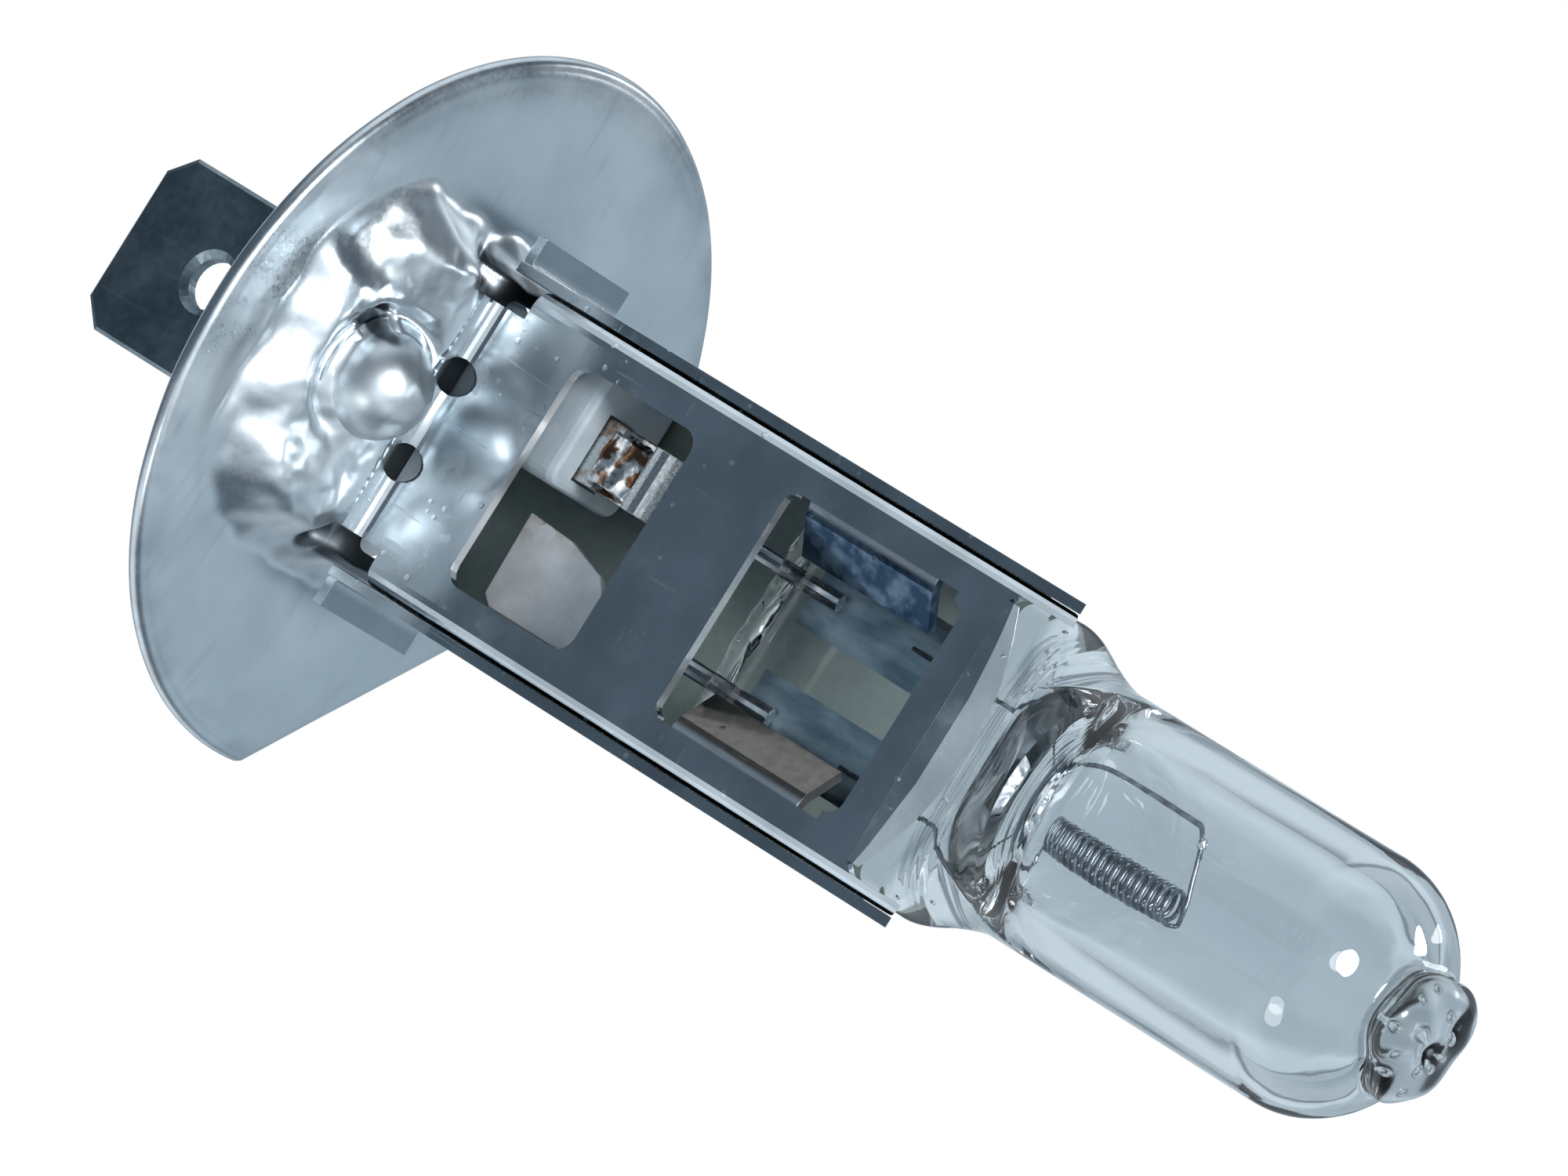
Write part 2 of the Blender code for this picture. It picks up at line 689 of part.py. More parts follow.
def build_lead_parts(tungsten, molybdenum, foil):
    build_foil("live_foil", LIVE_X, foil)
    build_foil("ground_foil", GROUND_X, foil)
    shade(tube("long_lead", long_lead_path(), INNER_LEAD_RADIUS, 10, tungsten), 60)
    shade(tube("short_lead", short_lead_path(), INNER_LEAD_RADIUS, 10, tungsten), 60)
    live = [(LIVE_X, LEAD_Y, 9.0), (LIVE_X, LEAD_Y, OUTER_LEAD_END_Z)]
    ground = [(GROUND_X, LEAD_Y, 9.1), (GROUND_X, LEAD_Y, OUTER_LEAD_END_Z)]
    shade(tube("live_outer_lead", live, OUTER_LEAD_RADIUS, 12, molybdenum), 60)
    shade(tube("ground_outer_lead", ground, OUTER_LEAD_RADIUS, 12, molybdenum), 60)
    ends = Vector(long_lead_path()[-1]), Vector(short_lead_path()[-1])
    up = Vector((0.64, 0, 0.35))
    build_clamp("long_lead_clamp", ends[0] + up.normalized() * 2 * CLEARANCE, up, tungsten)
    away = Vector((-0.7, 0, 0.25))
    build_clamp("short_lead_clamp", ends[1] + away.normalized() * 2 * CLEARANCE, away, tungsten)


# ---------------------------------------------------------------- base parts

def build_live_strip(finish):
    """Springy strip from the tang to the live lead, with a rolled upper end."""
    y = STRIP_BACK_Y - STRIP_THICKNESS / 2
    roll = arc((y - 0.42, 9.1), 0.42, 0, 230, 9)
    path = [(y, 4.4), (y, 6.9), (y + 0.1, 7.6), (y, 8.3), *roll]
    strip = prism_x("live_strip", thicken(path, STRIP_THICKNESS), -3.0, -0.8, finish)
    return shade(strip)


def build_ground_tab(finish):
    """Flat tab from the ground lead to the sleeve's side wall."""
    outline = [(0.85, 7.4), (0.75, 5.5), (3.6, 5.6), (3.9, 6.0), (3.9, 8.9)]
    outline += arc((3.2, 9.1), 0.7, 0, 90, 5)[1:]
    outline += [(2.2, 9.8), (1.3, 9.0)]
    return shade(prism_y("ground_tab", outline, STRIP_BACK_Y - STRIP_THICKNESS, STRIP_BACK_Y, finish))


def build_core(finish):
    """Ceramic core that carries the tang through the disc."""
    centre = ((CORE_X[0] + CORE_X[1]) / 2, 0.0)
    half = (CORE_X[1] - CORE_X[0]) / 2
    rings = []
    for inset, drop in ((0.0, CORE_Z[1] - CORE_Z[0]), (0.0, 0.3), (0.06, 0.08), (0.16, 0.0)):
        outline = rounded_rect(half - inset, CORE_HALF_Y - inset, CORE_CORNER - inset, 5, centre)
        rings.append([(x, y, CORE_Z[1] - drop) for x, y in outline])
    core = loft("insulator_core", rings, finish)
    reach = TANG_HALF_X + CORE_SLOT_GAP
    slot_x = (TANG_X - reach, TANG_X + reach)
    slot_y = (STRIP_BACK_Y - STRIP_THICKNESS - CORE_SLOT_GAP, BLADE_THICKNESS / 2 + CORE_SLOT_GAP)
    cut(core, box("core_slot", slot_x, slot_y, (CORE_Z[0] - 1, CORE_Z[1] + 1)))
    return shade(core)


def build_base(finish):
    """Ceramic block behind the disc that the blade is fixed to."""
    rings = []
    for inset, z in ((0.3, BASE_Z[0]), (0.08, BASE_Z[0] + 0.15), (0.0, BASE_Z[0] + 0.4), (0.0, BASE_Z[1])):
        outline = rounded_rect(BASE_HALF_X - inset, BASE_HALF_Y - inset, BASE_CORNER - inset, 5)
        rings.append([(x, y, z) for x, y in outline])
    base = loft("insulator_base", rings, finish)
    half = BLADE_THICKNESS / 2 + 0.05
    cut(base, box("base_slot", (-BLADE_HALF_X - 0.05, BLADE_HALF_X + 0.05), (-half, half), (-6, 2)))
    for side in (-1, 1):
        bore = prism_y("rivet_bore", circle(RIVET_BORE, 16, (side * RIVET_X, RIVET_Z)), -3, 3)
        cut(base, bore)
    return shade(base)


def build_blade(finish):
    """Terminal blade: the part inside the ceramic is coined slightly thinner."""
    c = BLADE_CHAMFER
    low = BLADE_END_Z
    wide = BLADE_HALF_X
    left, right = TANG_X - TANG_HALF_X, TANG_X + TANG_HALF_X
    outline = [
        (-wide + c, low), (wide - c, low), (wide, low + c), (wide, BLADE_TOP_Z), (right, BLADE_TOP_Z),
        (right, TANG_TOP_Z), (left, TANG_TOP_Z), (left, BLADE_TOP_Z), (-wide, BLADE_TOP_Z), (-wide, low + c),
    ]
    half = BLADE_THICKNESS / 2
    bevel = BLADE_BEVEL
    centre_z = (low + BLADE_TOP_Z) / 2
    rings = []
    for y, inset in ((-half, bevel), (-half + bevel, 0.0), (half - bevel, 0.0), (half, bevel)):
        ring = []
        for x, z in outline:
            shift_x = inset * (1 if x < (TANG_X if z > BLADE_TOP_Z + 0.4 else 0.0) else -1)
            shift_z = inset * (1 if z < centre_z else -1)
            ring.append((x + shift_x, y, z + shift_z))
        rings.append(ring)
    blade = loft("terminal_blade", rings, finish)
    spool = ((-half - 0.3, 0.62), (-half + 0.2, 0.0), (half - 0.2, 0.0), (half + 0.3, 0.62))
    rings = []
    for y, flare in spool:
        rim = circle(BLADE_HOLE_RADIUS + flare, 28, (0.0, BLADE_HOLE_Z))
        rings.append([(x, y, z) for x, z in rim])
    cut(blade, loft("countersunk_hole", rings))
    for side in (-1, 1):
        cut(blade, prism_y("rivet_bore", circle(RIVET_BORE, 16, (side * RIVET_X, RIVET_Z)), -3, 3))
        relief = tuple(sorted((side * (half - NECK_RELIEF), side * 2.0)))
        cut(blade, box("neck_relief", (-wide - 1, wide + 1), relief, NECK_Z))
    return shade(blade)


def build_rivet(name, x, finish):
    """Round rivet through the ceramic block and the blade, with domed heads."""
    reach = BASE_HALF_Y + CLEARANCE
    stations = ((-reach - 0.42, 0.25), (-reach - 0.38, 0.5), (-reach - 0.22, 0.75), (-reach, 0.82),
                (-reach, 0.46), (reach, 0.46), (reach, 0.82), (reach + 0.22, 0.75),
                (reach + 0.38, 0.5), (reach + 0.42, 0.25))
    rings = [[(px, y, pz) for px, pz in circle(r, 20, (x, RIVET_Z))] for y, r in stations]
    return shade(loft(name, rings, finish), 45)


# ---------------------------------------------------------------- assembly

def main():
    clear_scene()
    disc_steel = material("disc_steel", (0.50, 0.56, 0.60), 1.0, 0.32)
    sleeve_steel = material("sleeve_steel", (0.33, 0.37, 0.40), 1.0, 0.14)
    quartz = material("quartz", (0.90, 0.95, 0.97), 0.0, 0.02, 1.0)
    tungsten = material("tungsten", (0.20, 0.22, 0.26), 1.0, 0.35)
    molybdenum = material("molybdenum", (0.45, 0.47, 0.50), 1.0, 0.35)
    foil = material("foil", (0.30, 0.36, 0.42), 1.0, 0.4)
    nickel = material("nickel_strip", (0.60, 0.62, 0.60), 1.0, 0.35)
    ceramic = material("ceramic", (0.55, 0.62, 0.66), 0.0, 0.55)
    blade_metal = material("blade_metal", (0.07, 0.10, 0.13), 1.0, 0.45)
    rivet_metal = material("rivet_metal", (0.45, 0.47, 0.48), 1.0, 0.35)

    build_flange_disc(disc_steel)
    build_sleeve_front(sleeve_steel)
    build_sleeve_rear(sleeve_steel)
    build_envelope(quartz)
    build_lead_parts(tungsten, molybdenum, foil)
    build_filament(tungsten)
    build_live_strip(nickel)
    build_ground_tab(nickel)
    build_core(ceramic)
    build_base(ceramic)
    build_blade(blade_metal)
    build_rivet("blade_rivet_left", -RIVET_X, rivet_metal)
    build_rivet("blade_rivet_right", RIVET_X, rivet_metal)


main()
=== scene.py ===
"""Looks of the H1-type halogen headlight bulb: camera, studio, fine meshes and materials."""

import math

import bpy
from mathutils import Matrix, Vector, noise


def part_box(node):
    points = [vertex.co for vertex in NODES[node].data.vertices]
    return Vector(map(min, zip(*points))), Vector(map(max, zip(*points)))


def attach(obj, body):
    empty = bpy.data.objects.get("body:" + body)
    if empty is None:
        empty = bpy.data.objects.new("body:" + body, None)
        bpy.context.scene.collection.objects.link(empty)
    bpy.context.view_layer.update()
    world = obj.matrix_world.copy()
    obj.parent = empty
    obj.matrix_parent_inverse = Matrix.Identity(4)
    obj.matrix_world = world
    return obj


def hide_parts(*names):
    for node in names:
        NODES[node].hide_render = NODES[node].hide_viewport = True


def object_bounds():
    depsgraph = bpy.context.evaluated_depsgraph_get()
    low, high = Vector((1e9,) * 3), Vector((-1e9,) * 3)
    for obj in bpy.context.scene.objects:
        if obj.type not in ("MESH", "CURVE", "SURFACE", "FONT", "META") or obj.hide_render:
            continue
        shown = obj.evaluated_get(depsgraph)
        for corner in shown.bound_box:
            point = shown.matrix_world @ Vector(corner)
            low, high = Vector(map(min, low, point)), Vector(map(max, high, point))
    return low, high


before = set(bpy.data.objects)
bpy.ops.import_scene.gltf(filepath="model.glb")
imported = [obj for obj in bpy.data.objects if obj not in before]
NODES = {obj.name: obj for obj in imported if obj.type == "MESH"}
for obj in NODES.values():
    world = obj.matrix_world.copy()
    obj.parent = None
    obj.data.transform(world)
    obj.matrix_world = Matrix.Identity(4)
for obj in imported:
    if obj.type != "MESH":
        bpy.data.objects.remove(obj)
CAD_BOX = [list(corner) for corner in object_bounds()]

MM = 0.001


def box_mm(node):
    """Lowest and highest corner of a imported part, in millimetres."""
    return [[round(c / MM, 3) for c in corner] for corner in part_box(node)]


DISC_LOW, _ = box_mm("flange_disc")
GLASS_LOW, GLASS_HIGH = box_mm("quartz_envelope")
_, FOIL_HIGH = box_mm("live_foil")

# ---- studio: linear colours and metres
ROOM_DARK = (0.105, 0.14, 0.175)
ROOM_CEILING = (0.43, 0.52, 0.59)
ROOM_FRONT = (0.95, 1.02, 1.08)
ROOM_SIDE = (0.95, 1.02, 1.08)
ROOM_UPPER_SIDE = (0.09, 0.12, 0.15)
THROUGH_LOW = (0.42, 0.52, 0.59)
THROUGH_HIGH = (0.24, 0.31, 0.36)
ROOM_BELOW = (0.75, 0.83, 0.90)
SOFTBOXES = (
    # name, direction, distance, size, watts
    ("key_softbox", (-0.35, -0.55, 1.0), 0.5, (0.16, 0.16), 2.1),
    ("fill_softbox", (0.9, -0.8, 0.35), 0.6, (0.18, 0.18), 0.5),
    ("rear_softbox", (-0.55, 0.75, 0.35), 0.6, (0.10, 0.20), 0.3),
)
SOFTBOX_AIM = (0, 0, 0.012)
FLOOR_HALF = 3.0
FLOOR_BANDS_REACH = 0.12
FLOOR_BANDS = (
    (0.0, (0.36, 0.45, 0.51)), (0.12, (0.38, 0.47, 0.53)), (0.26, (0.56, 0.67, 0.74)),
    (0.46, (0.52, 0.63, 0.70)), (0.64, (0.14, 0.18, 0.22)), (0.85, (0.40, 0.48, 0.54)),
)

# ---- disc, in millimetres
DISC_RADIUS = -DISC_LOW[0]
DISC_FLAT = 9.3
DISC_SHEET = -DISC_LOW[2]
DISC_STEPS = 440
DISC_RINGS = 96
BACK_RINGS = 60
OPENING_HALF = (4.52, 2.14)
OPENING_POWER = 12
HUB_HALF_X = 6.3
HUB_HALF_Y = 8.5
HUB_MIDDLE_Y = -1.6
HUB_CORNER = 4.2
DOME = (-0.1, -5.7)
DOME_RADIUS = 1.75
DOME_BASE_Z = 1.45
DOME_RINGS = 26
DOME_STEPS = 64
DOME_ROUND = 0.8  # share of the dome's rings above its flared foot
VENT = (-1.75, -6.9)
NOTCHES = ((-4.8, -3.55), (4.8, -3.55))
HUB_TALL = 1.82
HUB_DROP = 0.75
HUB_DENTS = (
    # height, centre, size
    (0.28, (-4.9, -5.9), (1.1, 1.5)), (-0.34, (-3.5, -8.3), (1.0, 0.9)), (0.24, (3.9, -6.9), (1.2, 1.1)),
    (-0.22, (2.6, -8.7), (1.2, 0.7)), (0.16, (0.9, -8.9), (1.4, 0.6)), (-0.18, (4.9, -4.9), (0.6, 0.9)),
)
SLEEVE_SEAT_Z = 1.36
HUB_BACK_Z = 1.3
RIM_ROLL = 0.40
EDGE_STEPS = 10

# ---- sleeve, in millimetres: heights between which the window's tongues are bent in
WINDOW_BEND = (15.3, 21.3)

# ---- widths of the rolled edges on the carried-over parts, in millimetres
ROLLED_EDGES = (
    ("sleeve_front", 0.07), ("sleeve_rear", 0.07), ("terminal_blade", 0.06), ("insulator_core", 0.06),
    ("insulator_base", 0.08), ("live_strip", 0.05), ("ground_tab", 0.05),
)

# ---- glass, in millimetres
GLASS_STEPS = 40
CURVE_STEPS = 240
CORNER_STEPS = 60
PINCH_HALF = (GLASS_HIGH[0], 1.3)
PINCH_Z = GLASS_LOW[2]
PINCH_CORNER = 0.8
PINCH_ROUND = (
    # height above the end, inset, corner radius
    (0.0, 0.35, 0.6), (0.06, 0.2, 0.7), (0.16, 0.08, 0.75), (0.3, 0.0, PINCH_CORNER),
)
SHOULDER_Z = (23.9, 27.8)
RIPPLE_Z = SHOULDER_Z[0] - 1.2
RING_GAP = 0.07
FOLD_Z = 25.4
TUBE_RADIUS = GLASS_HIGH[1]
TUBE_Z = (27.8, 38.3)
TUBE_RINGS = 24
GLASS_DOME_RINGS = 21
GLASS_DOME_HEIGHT = 3.5
DOME_END_ANGLE = 60
NUB_TOP = GLASS_HIGH[2]
NUB = (
    # radius, z
    (2.11, 41.33), (2.02, 41.6), (2.15, 41.85), (2.1, 42.15), (1.8, 42.5), (1.3, 42.7), (0.7, 42.78),
    (0.2, NUB_TOP),
)
NUB_FROST = 0.16
FOLD_FROST = 0.07
CHAMBER = (
    # z, half width, half depth, roundness of the section
    (25.1, 2.2, 0.08, 2.4), (25.8, 2.5, 0.5, 2.3), (26.7, 2.85, 1.4, 2.1), (27.8, 3.08, 2.4, 2.0),
    (29.0, 3.18, 3.0, 2.0), (30.2, 3.2, 3.2, 2.0), (34.0, 3.2, 3.2, 2.0), (38.0, 3.2, 3.2, 2.0),
)
CHAMBER_END = 40.6
CHAMBER_END_RINGS = 30
BUBBLES = (
    # x, y, z, radius
    (1.5, -2.6, 25.2, 0.09), (-2.6, -1.5, 25.0, 0.07), (3.9, -0.6, 25.4, 0.08), (0.7, -0.8, 42.0, 0.16),
    (-0.8, -0.9, 41.9, 0.12), (0.2, 0.9, 42.1, 0.14), (-4.5, -0.9, 24.6, 0.07), (4.6, -0.9, 24.5, 0.06),
    (0.9, 0.1, 42.25, 0.2), (0.65, 0.6, 42.2, 0.17), (-0.35, 0.75, 42.2, 0.2), (-0.9, 0.1, 42.15, 0.17),
    (1.3, -0.5, 41.9, 0.15), (1.2, -1.0, 41.7, 0.12), (0.1, -1.3, 41.8, 0.16), (-1.3, -0.6, 41.9, 0.13),
    (1.5, 0.4, 41.9, 0.14), (-0.1, -0.1, 41.5, 0.25),
)

# ---- filament and leads, in millimetres
COIL_X = 0.66
COIL_RADIUS = 0.53
COIL_WIRE = 0.082
COIL_Z = (27.0, 32.7)
COIL_TURNS = 19
COIL_STEPS = 26
LEAD_WIRE = 0.075
TAIL_WIRE = 0.075
LIVE_X = -1.85
GROUND_X = 2.2
LEAD_Y = -0.32
FOIL_TOP = FOIL_HIGH[2]
LONG_LEAD_TOP = 32.2
SHORT_LEAD_END = (1.85, 0.0, 26.9)

# ---- weld on the live strip, in millimetres
WELD_X = (-2.85, -0.85)
WELD_Z = (6.5, 8.5)
WELD_Y = -0.93
WELD_GRID = (40, 44)


# ---------------------------------------------------------------- camera and studio

CAMERA_DISTANCE = 0.436
CAMERA_ELEVATION = math.radians(36.5)
CAMERA_ROLL = math.radians(31.9)
CAMERA_TARGET = Vector((-0.00138, 0.00699, 0.00945))
CAMERA_LENS = 324.0


def add_camera():
    """A long lens from the front and above, rolled so that the tip points to the lower right."""
    back = Vector((0, -math.cos(CAMERA_ELEVATION), math.sin(CAMERA_ELEVATION)))
    along = Vector((0, math.sin(CAMERA_ELEVATION), math.cos(CAMERA_ELEVATION)))
    across = Vector((1, 0, 0))
    location = back * CAMERA_DISTANCE
    up = -math.sin(CAMERA_ROLL) * along - math.cos(CAMERA_ROLL) * across
    back = (location - CAMERA_TARGET).normalized()
    up = (up - up.dot(back) * back).normalized()
    right = up.cross(back)
    data = bpy.data.cameras.new("camera")
    data.lens = CAMERA_LENS
    data.sensor_width = 36
    data.clip_start = 0.01
    data.clip_end = 20
    camera = bpy.data.objects.new("camera", data)
    camera.matrix_world = Matrix.Translation(location) @ Matrix((right, up, back)).transposed().to_4x4()
    bpy.context.scene.collection.objects.link(camera)
    bpy.context.scene.camera = camera


def add_light(name, direction, distance, size, power):
    """Oval softbox that looks at the middle of the object."""
    data = bpy.data.lights.new(name, "AREA")
    data.shape = "ELLIPSE"
    data.size, data.size_y = size
    data.energy = power
    light = bpy.data.objects.new(name, data)
    back = Vector(direction).normalized()
    light.location = Vector(SOFTBOX_AIM) + back * distance
    light.rotation_euler = back.to_track_quat("Z", "Y").to_euler()
    bpy.context.scene.collection.objects.link(light)


def world_light():
    """White behind the object; for reflections a dim room with a grey ceiling and pale side walls."""
    world = bpy.data.worlds.new("studio")
    bpy.context.scene.world = world
    world.use_nodes = True
    tree = world.node_tree
    tree.nodes.clear()

    def node(kind, **settings):
        made = tree.nodes.new("ShaderNode" + kind)
        for key, value in settings.items():
            setattr(made, key, value)
        return made

    def step(value, low, high):
        made = node("MapRange", interpolation_type="SMOOTHSTEP")
        made.inputs["From Min"].default_value = low
        made.inputs["From Max"].default_value = high
        tree.links.new(value, made.inputs["Value"])
        return made.outputs["Result"]

    def over(share, *colours):
        """Mix of two colours, each a tuple or a socket."""
        made = node("Mix", data_type="RGBA")
        tree.links.new(share, made.inputs[0])
        for socket, colour in zip((made.inputs[6], made.inputs[7]), colours):
            if isinstance(colour, tuple):
                socket.default_value = (*colour, 1)
            else:
                tree.links.new(colour, socket)
        return made.outputs[2]

    coords = node("TexCoord")

    def towards(direction):
        made = node("VectorMath", operation="DOT_PRODUCT")
        tree.links.new(coords.outputs["Generated"], made.inputs[0])
        made.inputs[1].default_value = direction
        return made.outputs["Value"]

    side = node("Math", operation="ABSOLUTE")
    tree.links.new(towards((1, 0, 0)), side.inputs[0])
    colour = over(step(towards((0, 0.62, 0.78)), -0.45, 0.98), ROOM_DARK, ROOM_CEILING)
    colour = over(step(towards((0, -0.55, 0.83)), 0.72, 0.99), colour, ROOM_FRONT)
    colour = over(step(towards((0, 0.60, -0.80)), 0.86, 0.97), colour, ROOM_BELOW)
    sides = over(step(towards((0, 0, 1)), -0.10, 0.20), ROOM_SIDE, ROOM_UPPER_SIDE)
    colour = over(step(side.outputs[0], 0.42, 0.80), colour, sides)
    left = node("Math", operation="MULTIPLY")
    tree.links.new(step(towards((-1, 0, 0)), 0.12, 0.42), left.inputs[0])
    tree.links.new(step(towards((0, 0, 1)), 0.10, 0.30), left.inputs[1])
    colour = over(left.outputs[0], colour, ROOM_UPPER_SIDE)
    path = node("LightPath")
    through = over(step(towards((0, 0, 1)), -0.2, 0.5), THROUGH_LOW, THROUGH_HIGH)
    colour = over(path.outputs["Is Transmission Ray"], colour, through)
    room, seen = node("Background"), node("Background")
    tree.links.new(colour, room.inputs["Color"])
    seen.inputs["Color"].default_value = (1, 1, 1, 1)
    mix, out = node("MixShader"), node("OutputWorld")
    tree.links.new(path.outputs["Is Camera Ray"], mix.inputs["Fac"])
    tree.links.new(room.outputs[0], mix.inputs[1])
    tree.links.new(seen.outputs[0], mix.inputs[2])
    tree.links.new(mix.outputs[0], out.inputs["Surface"])


def add_floor():
    """Pale floor: white to the camera, with soft grey bands where the glass bends light to it."""
    low = CAD_BOX[0][2]
    mesh = bpy.data.meshes.new("floor")
    r = FLOOR_HALF
    mesh.from_pydata([(-r, -r, low), (r, -r, low), (r, r, low), (-r, r, low)], [], [(0, 1, 2, 3)])
    floor = bpy.data.objects.new("floor", mesh)
    bpy.context.scene.collection.objects.link(floor)
    floor.visible_glossy = False
    paint = bpy.data.materials.new("floor_paint")
    paint.use_nodes = True
    tree = paint.node_tree
    tree.nodes.clear()
    coords = tree.nodes.new("ShaderNodeTexCoord")
    split = tree.nodes.new("ShaderNodeSeparateXYZ")
    side = tree.nodes.new("ShaderNodeMath")
    side.operation = "ABSOLUTE"
    scale = tree.nodes.new("ShaderNodeMath")
    scale.operation = "DIVIDE"
    scale.inputs[1].default_value = FLOOR_BANDS_REACH
    ramp = tree.nodes.new("ShaderNodeValToRGB")
    ramp.color_ramp.interpolation = "EASE"
    (first, tone), *others, (last, end) = FLOOR_BANDS
    ramp.color_ramp.elements[0].position, ramp.color_ramp.elements[0].color = first, (*tone, 1)
    ramp.color_ramp.elements[1].position, ramp.color_ramp.elements[1].color = last, (*end, 1)
    for position, tone in others:
        ramp.color_ramp.elements.new(position).color = (*tone, 1)
    pale, white = tree.nodes.new("ShaderNodeEmission"), tree.nodes.new("ShaderNodeEmission")
    white.inputs["Color"].default_value = (1, 1, 1, 1)
    path, mix = tree.nodes.new("ShaderNodeLightPath"), tree.nodes.new("ShaderNodeMixShader")
    out = tree.nodes.new("ShaderNodeOutputMaterial")
    for a, b in (
        (coords.outputs["Object"], split.inputs[0]), (split.outputs["X"], side.inputs[0]),
        (side.outputs[0], scale.inputs[0]), (scale.outputs[0], ramp.inputs["Fac"]),
        (ramp.outputs["Color"], pale.inputs["Color"]), (path.outputs["Is Camera Ray"], mix.inputs["Fac"]),
        (pale.outputs[0], mix.inputs[1]), (white.outputs[0], mix.inputs[2]),
        (mix.outputs[0], out.inputs["Surface"]),
    ):
        tree.links.new(a, b)
    floor.data.materials.append(paint)


def add_studio():
    bpy.context.scene.view_settings.view_transform = "Standard"
    world_light()
    add_floor()
    for softbox in SOFTBOXES:
        add_light(*softbox)


# ---------------------------------------------------------------- node materials

class Look:
    """One node material, built up in millimetres of object space."""

    def __init__(self, name, **constants):
        self.material = bpy.data.materials.new(name)
        self.material.use_nodes = True
        self.tree = self.material.node_tree
        self.bsdf = self.tree.nodes["Principled BSDF"]
        coords = self.tree.nodes.new("ShaderNodeTexCoord")
        self.place = self.vector("MULTIPLY", coords.outputs["Object"], (1 / MM,) * 3)
        for socket, value in constants.items():
            self.set(socket.replace("_", " "), value)

    def feed(self, socket, value):
        if isinstance(value, bpy.types.NodeSocket):
            self.tree.links.new(value, socket)
        elif socket.type == "RGBA" and len(value) == 3:
            socket.default_value = (*value, 1.0)
        else:
            socket.default_value = value

    def node(self, kind, inputs, **settings):
        made = self.tree.nodes.new("ShaderNode" + kind)
        for key, value in settings.items():
            setattr(made, key, value)
        for key, value in inputs.items():
            self.feed(made.inputs[key], value)
        return made

    def set(self, socket, value):
        self.feed(self.bsdf.inputs[socket], value)

    def vector(self, operation, a, b):
        return self.node("VectorMath", {0: a, 1: b}, operation=operation).outputs["Vector"]

    def math(self, operation, a, b=0.0):
        return self.node("Math", {0: a, 1: b}, operation=operation).outputs[0]

    def along(self, direction):
        """Distance in millimetres along a direction."""
        made = self.node("VectorMath", {0: self.place, 1: direction}, operation="DOT_PRODUCT")
        return made.outputs["Value"]

    def size(self, direction):
        """Distance along a direction without its sign."""
        return self.math("ABSOLUTE", self.along(direction))

    def away(self, centre, squash=(1, 1, 1)):
        """Distance in millimetres from a point, shorter along a squashed axis."""
        offset = self.vector("MULTIPLY", self.vector("SUBTRACT", self.place, centre), squash)
        return self.node("VectorMath", {0: offset}, operation="LENGTH").outputs["Value"]

    def facing(self, direction, low, high):
        """1 where the surface faces along a direction."""
        coords = self.node("TexCoord", {})
        inputs = {0: coords.outputs["Normal"], 1: direction}
        turned = self.node("VectorMath", inputs, operation="DOT_PRODUCT").outputs["Value"]
        return self.remap(turned, low, high)

    def noise(self, size, detail=3.0, stretch=(1, 1, 1), shift=0.0, twist=0.0):
        """Soft noise whose features measure about the given size, longer along a stretched axis."""
        scaled = self.vector("MULTIPLY", self.place, tuple(1 / (size * s) for s in stretch))
        moved = self.vector("ADD", scaled, (shift, shift * 1.7, shift * 0.6))
        values = {"Vector": moved, "Scale": 1.0, "Detail": detail, "Distortion": twist}
        return self.node("TexNoise", values).outputs["Fac"]

    def specks(self, size, share, shift=0.0):
        """Small separate spots: 1 in a spot, 0 elsewhere."""
        scaled = self.vector("MULTIPLY", self.place, (1 / size,) * 3)
        moved = self.vector("ADD", scaled, (shift, shift, shift))
        cells = self.node("TexVoronoi", {"Vector": moved, "Scale": 1.0})
        spot = self.remap(cells.outputs["Distance"], 0.22, 0.12)
        chosen = self.remap(self.noise(size * 2.5, 1.0, shift=shift + 5), 1 - share, 1 - share + 0.05)
        return self.math("MULTIPLY", spot, chosen)

    def remap(self, value, low, high, to_low=0.0, to_high=1.0):
        """Smooth step between two values, which also runs backwards."""
        if low > high:
            low, high, to_low, to_high = high, low, to_high, to_low
        inputs = {"Value": value, "From Min": low, "From Max": high, "To Min": to_low, "To Max": to_high}
        return self.node("MapRange", inputs, interpolation_type="SMOOTHSTEP").outputs["Result"]

    def band(self, value, low, high, soft):
        """1 between two values, 0 outside."""
        rise = self.remap(value, low - soft, low + soft)
        fall = self.remap(value, high + soft, high - soft)
        return self.math("MULTIPLY", rise, fall)

    def blend(self, share, a, b):
        made = self.tree.nodes.new("ShaderNodeMix")
        made.data_type = "RGBA"
        for key, value in ((0, share), (6, a), (7, b)):
            self.feed(made.inputs[key], value)
        return made.outputs[2]

    def bumps(self, *layers):
        """Fine relief from pairs of height and depth in millimetres."""
        normal = None
        for height, depth in layers:
            inputs = {"Height": height, "Distance": depth * MM, "Strength": 1.0}
            if normal is not None:
                inputs["Normal"] = normal
            normal = self.node("Bump", inputs).outputs["Normal"]
        self.set("Normal", normal)


def scratches(look, size, shift):
    """Thin lines in two directions, as 0 to 1."""
    first = look.remap(look.noise(size, 2.0, (1, 1, 14), shift), 0.66, 0.74)
    second = look.remap(look.noise(size * 1.3, 2.0, (12, 1, 1), shift + 3), 0.70, 0.77)
    return look.math("MAXIMUM", first, second)


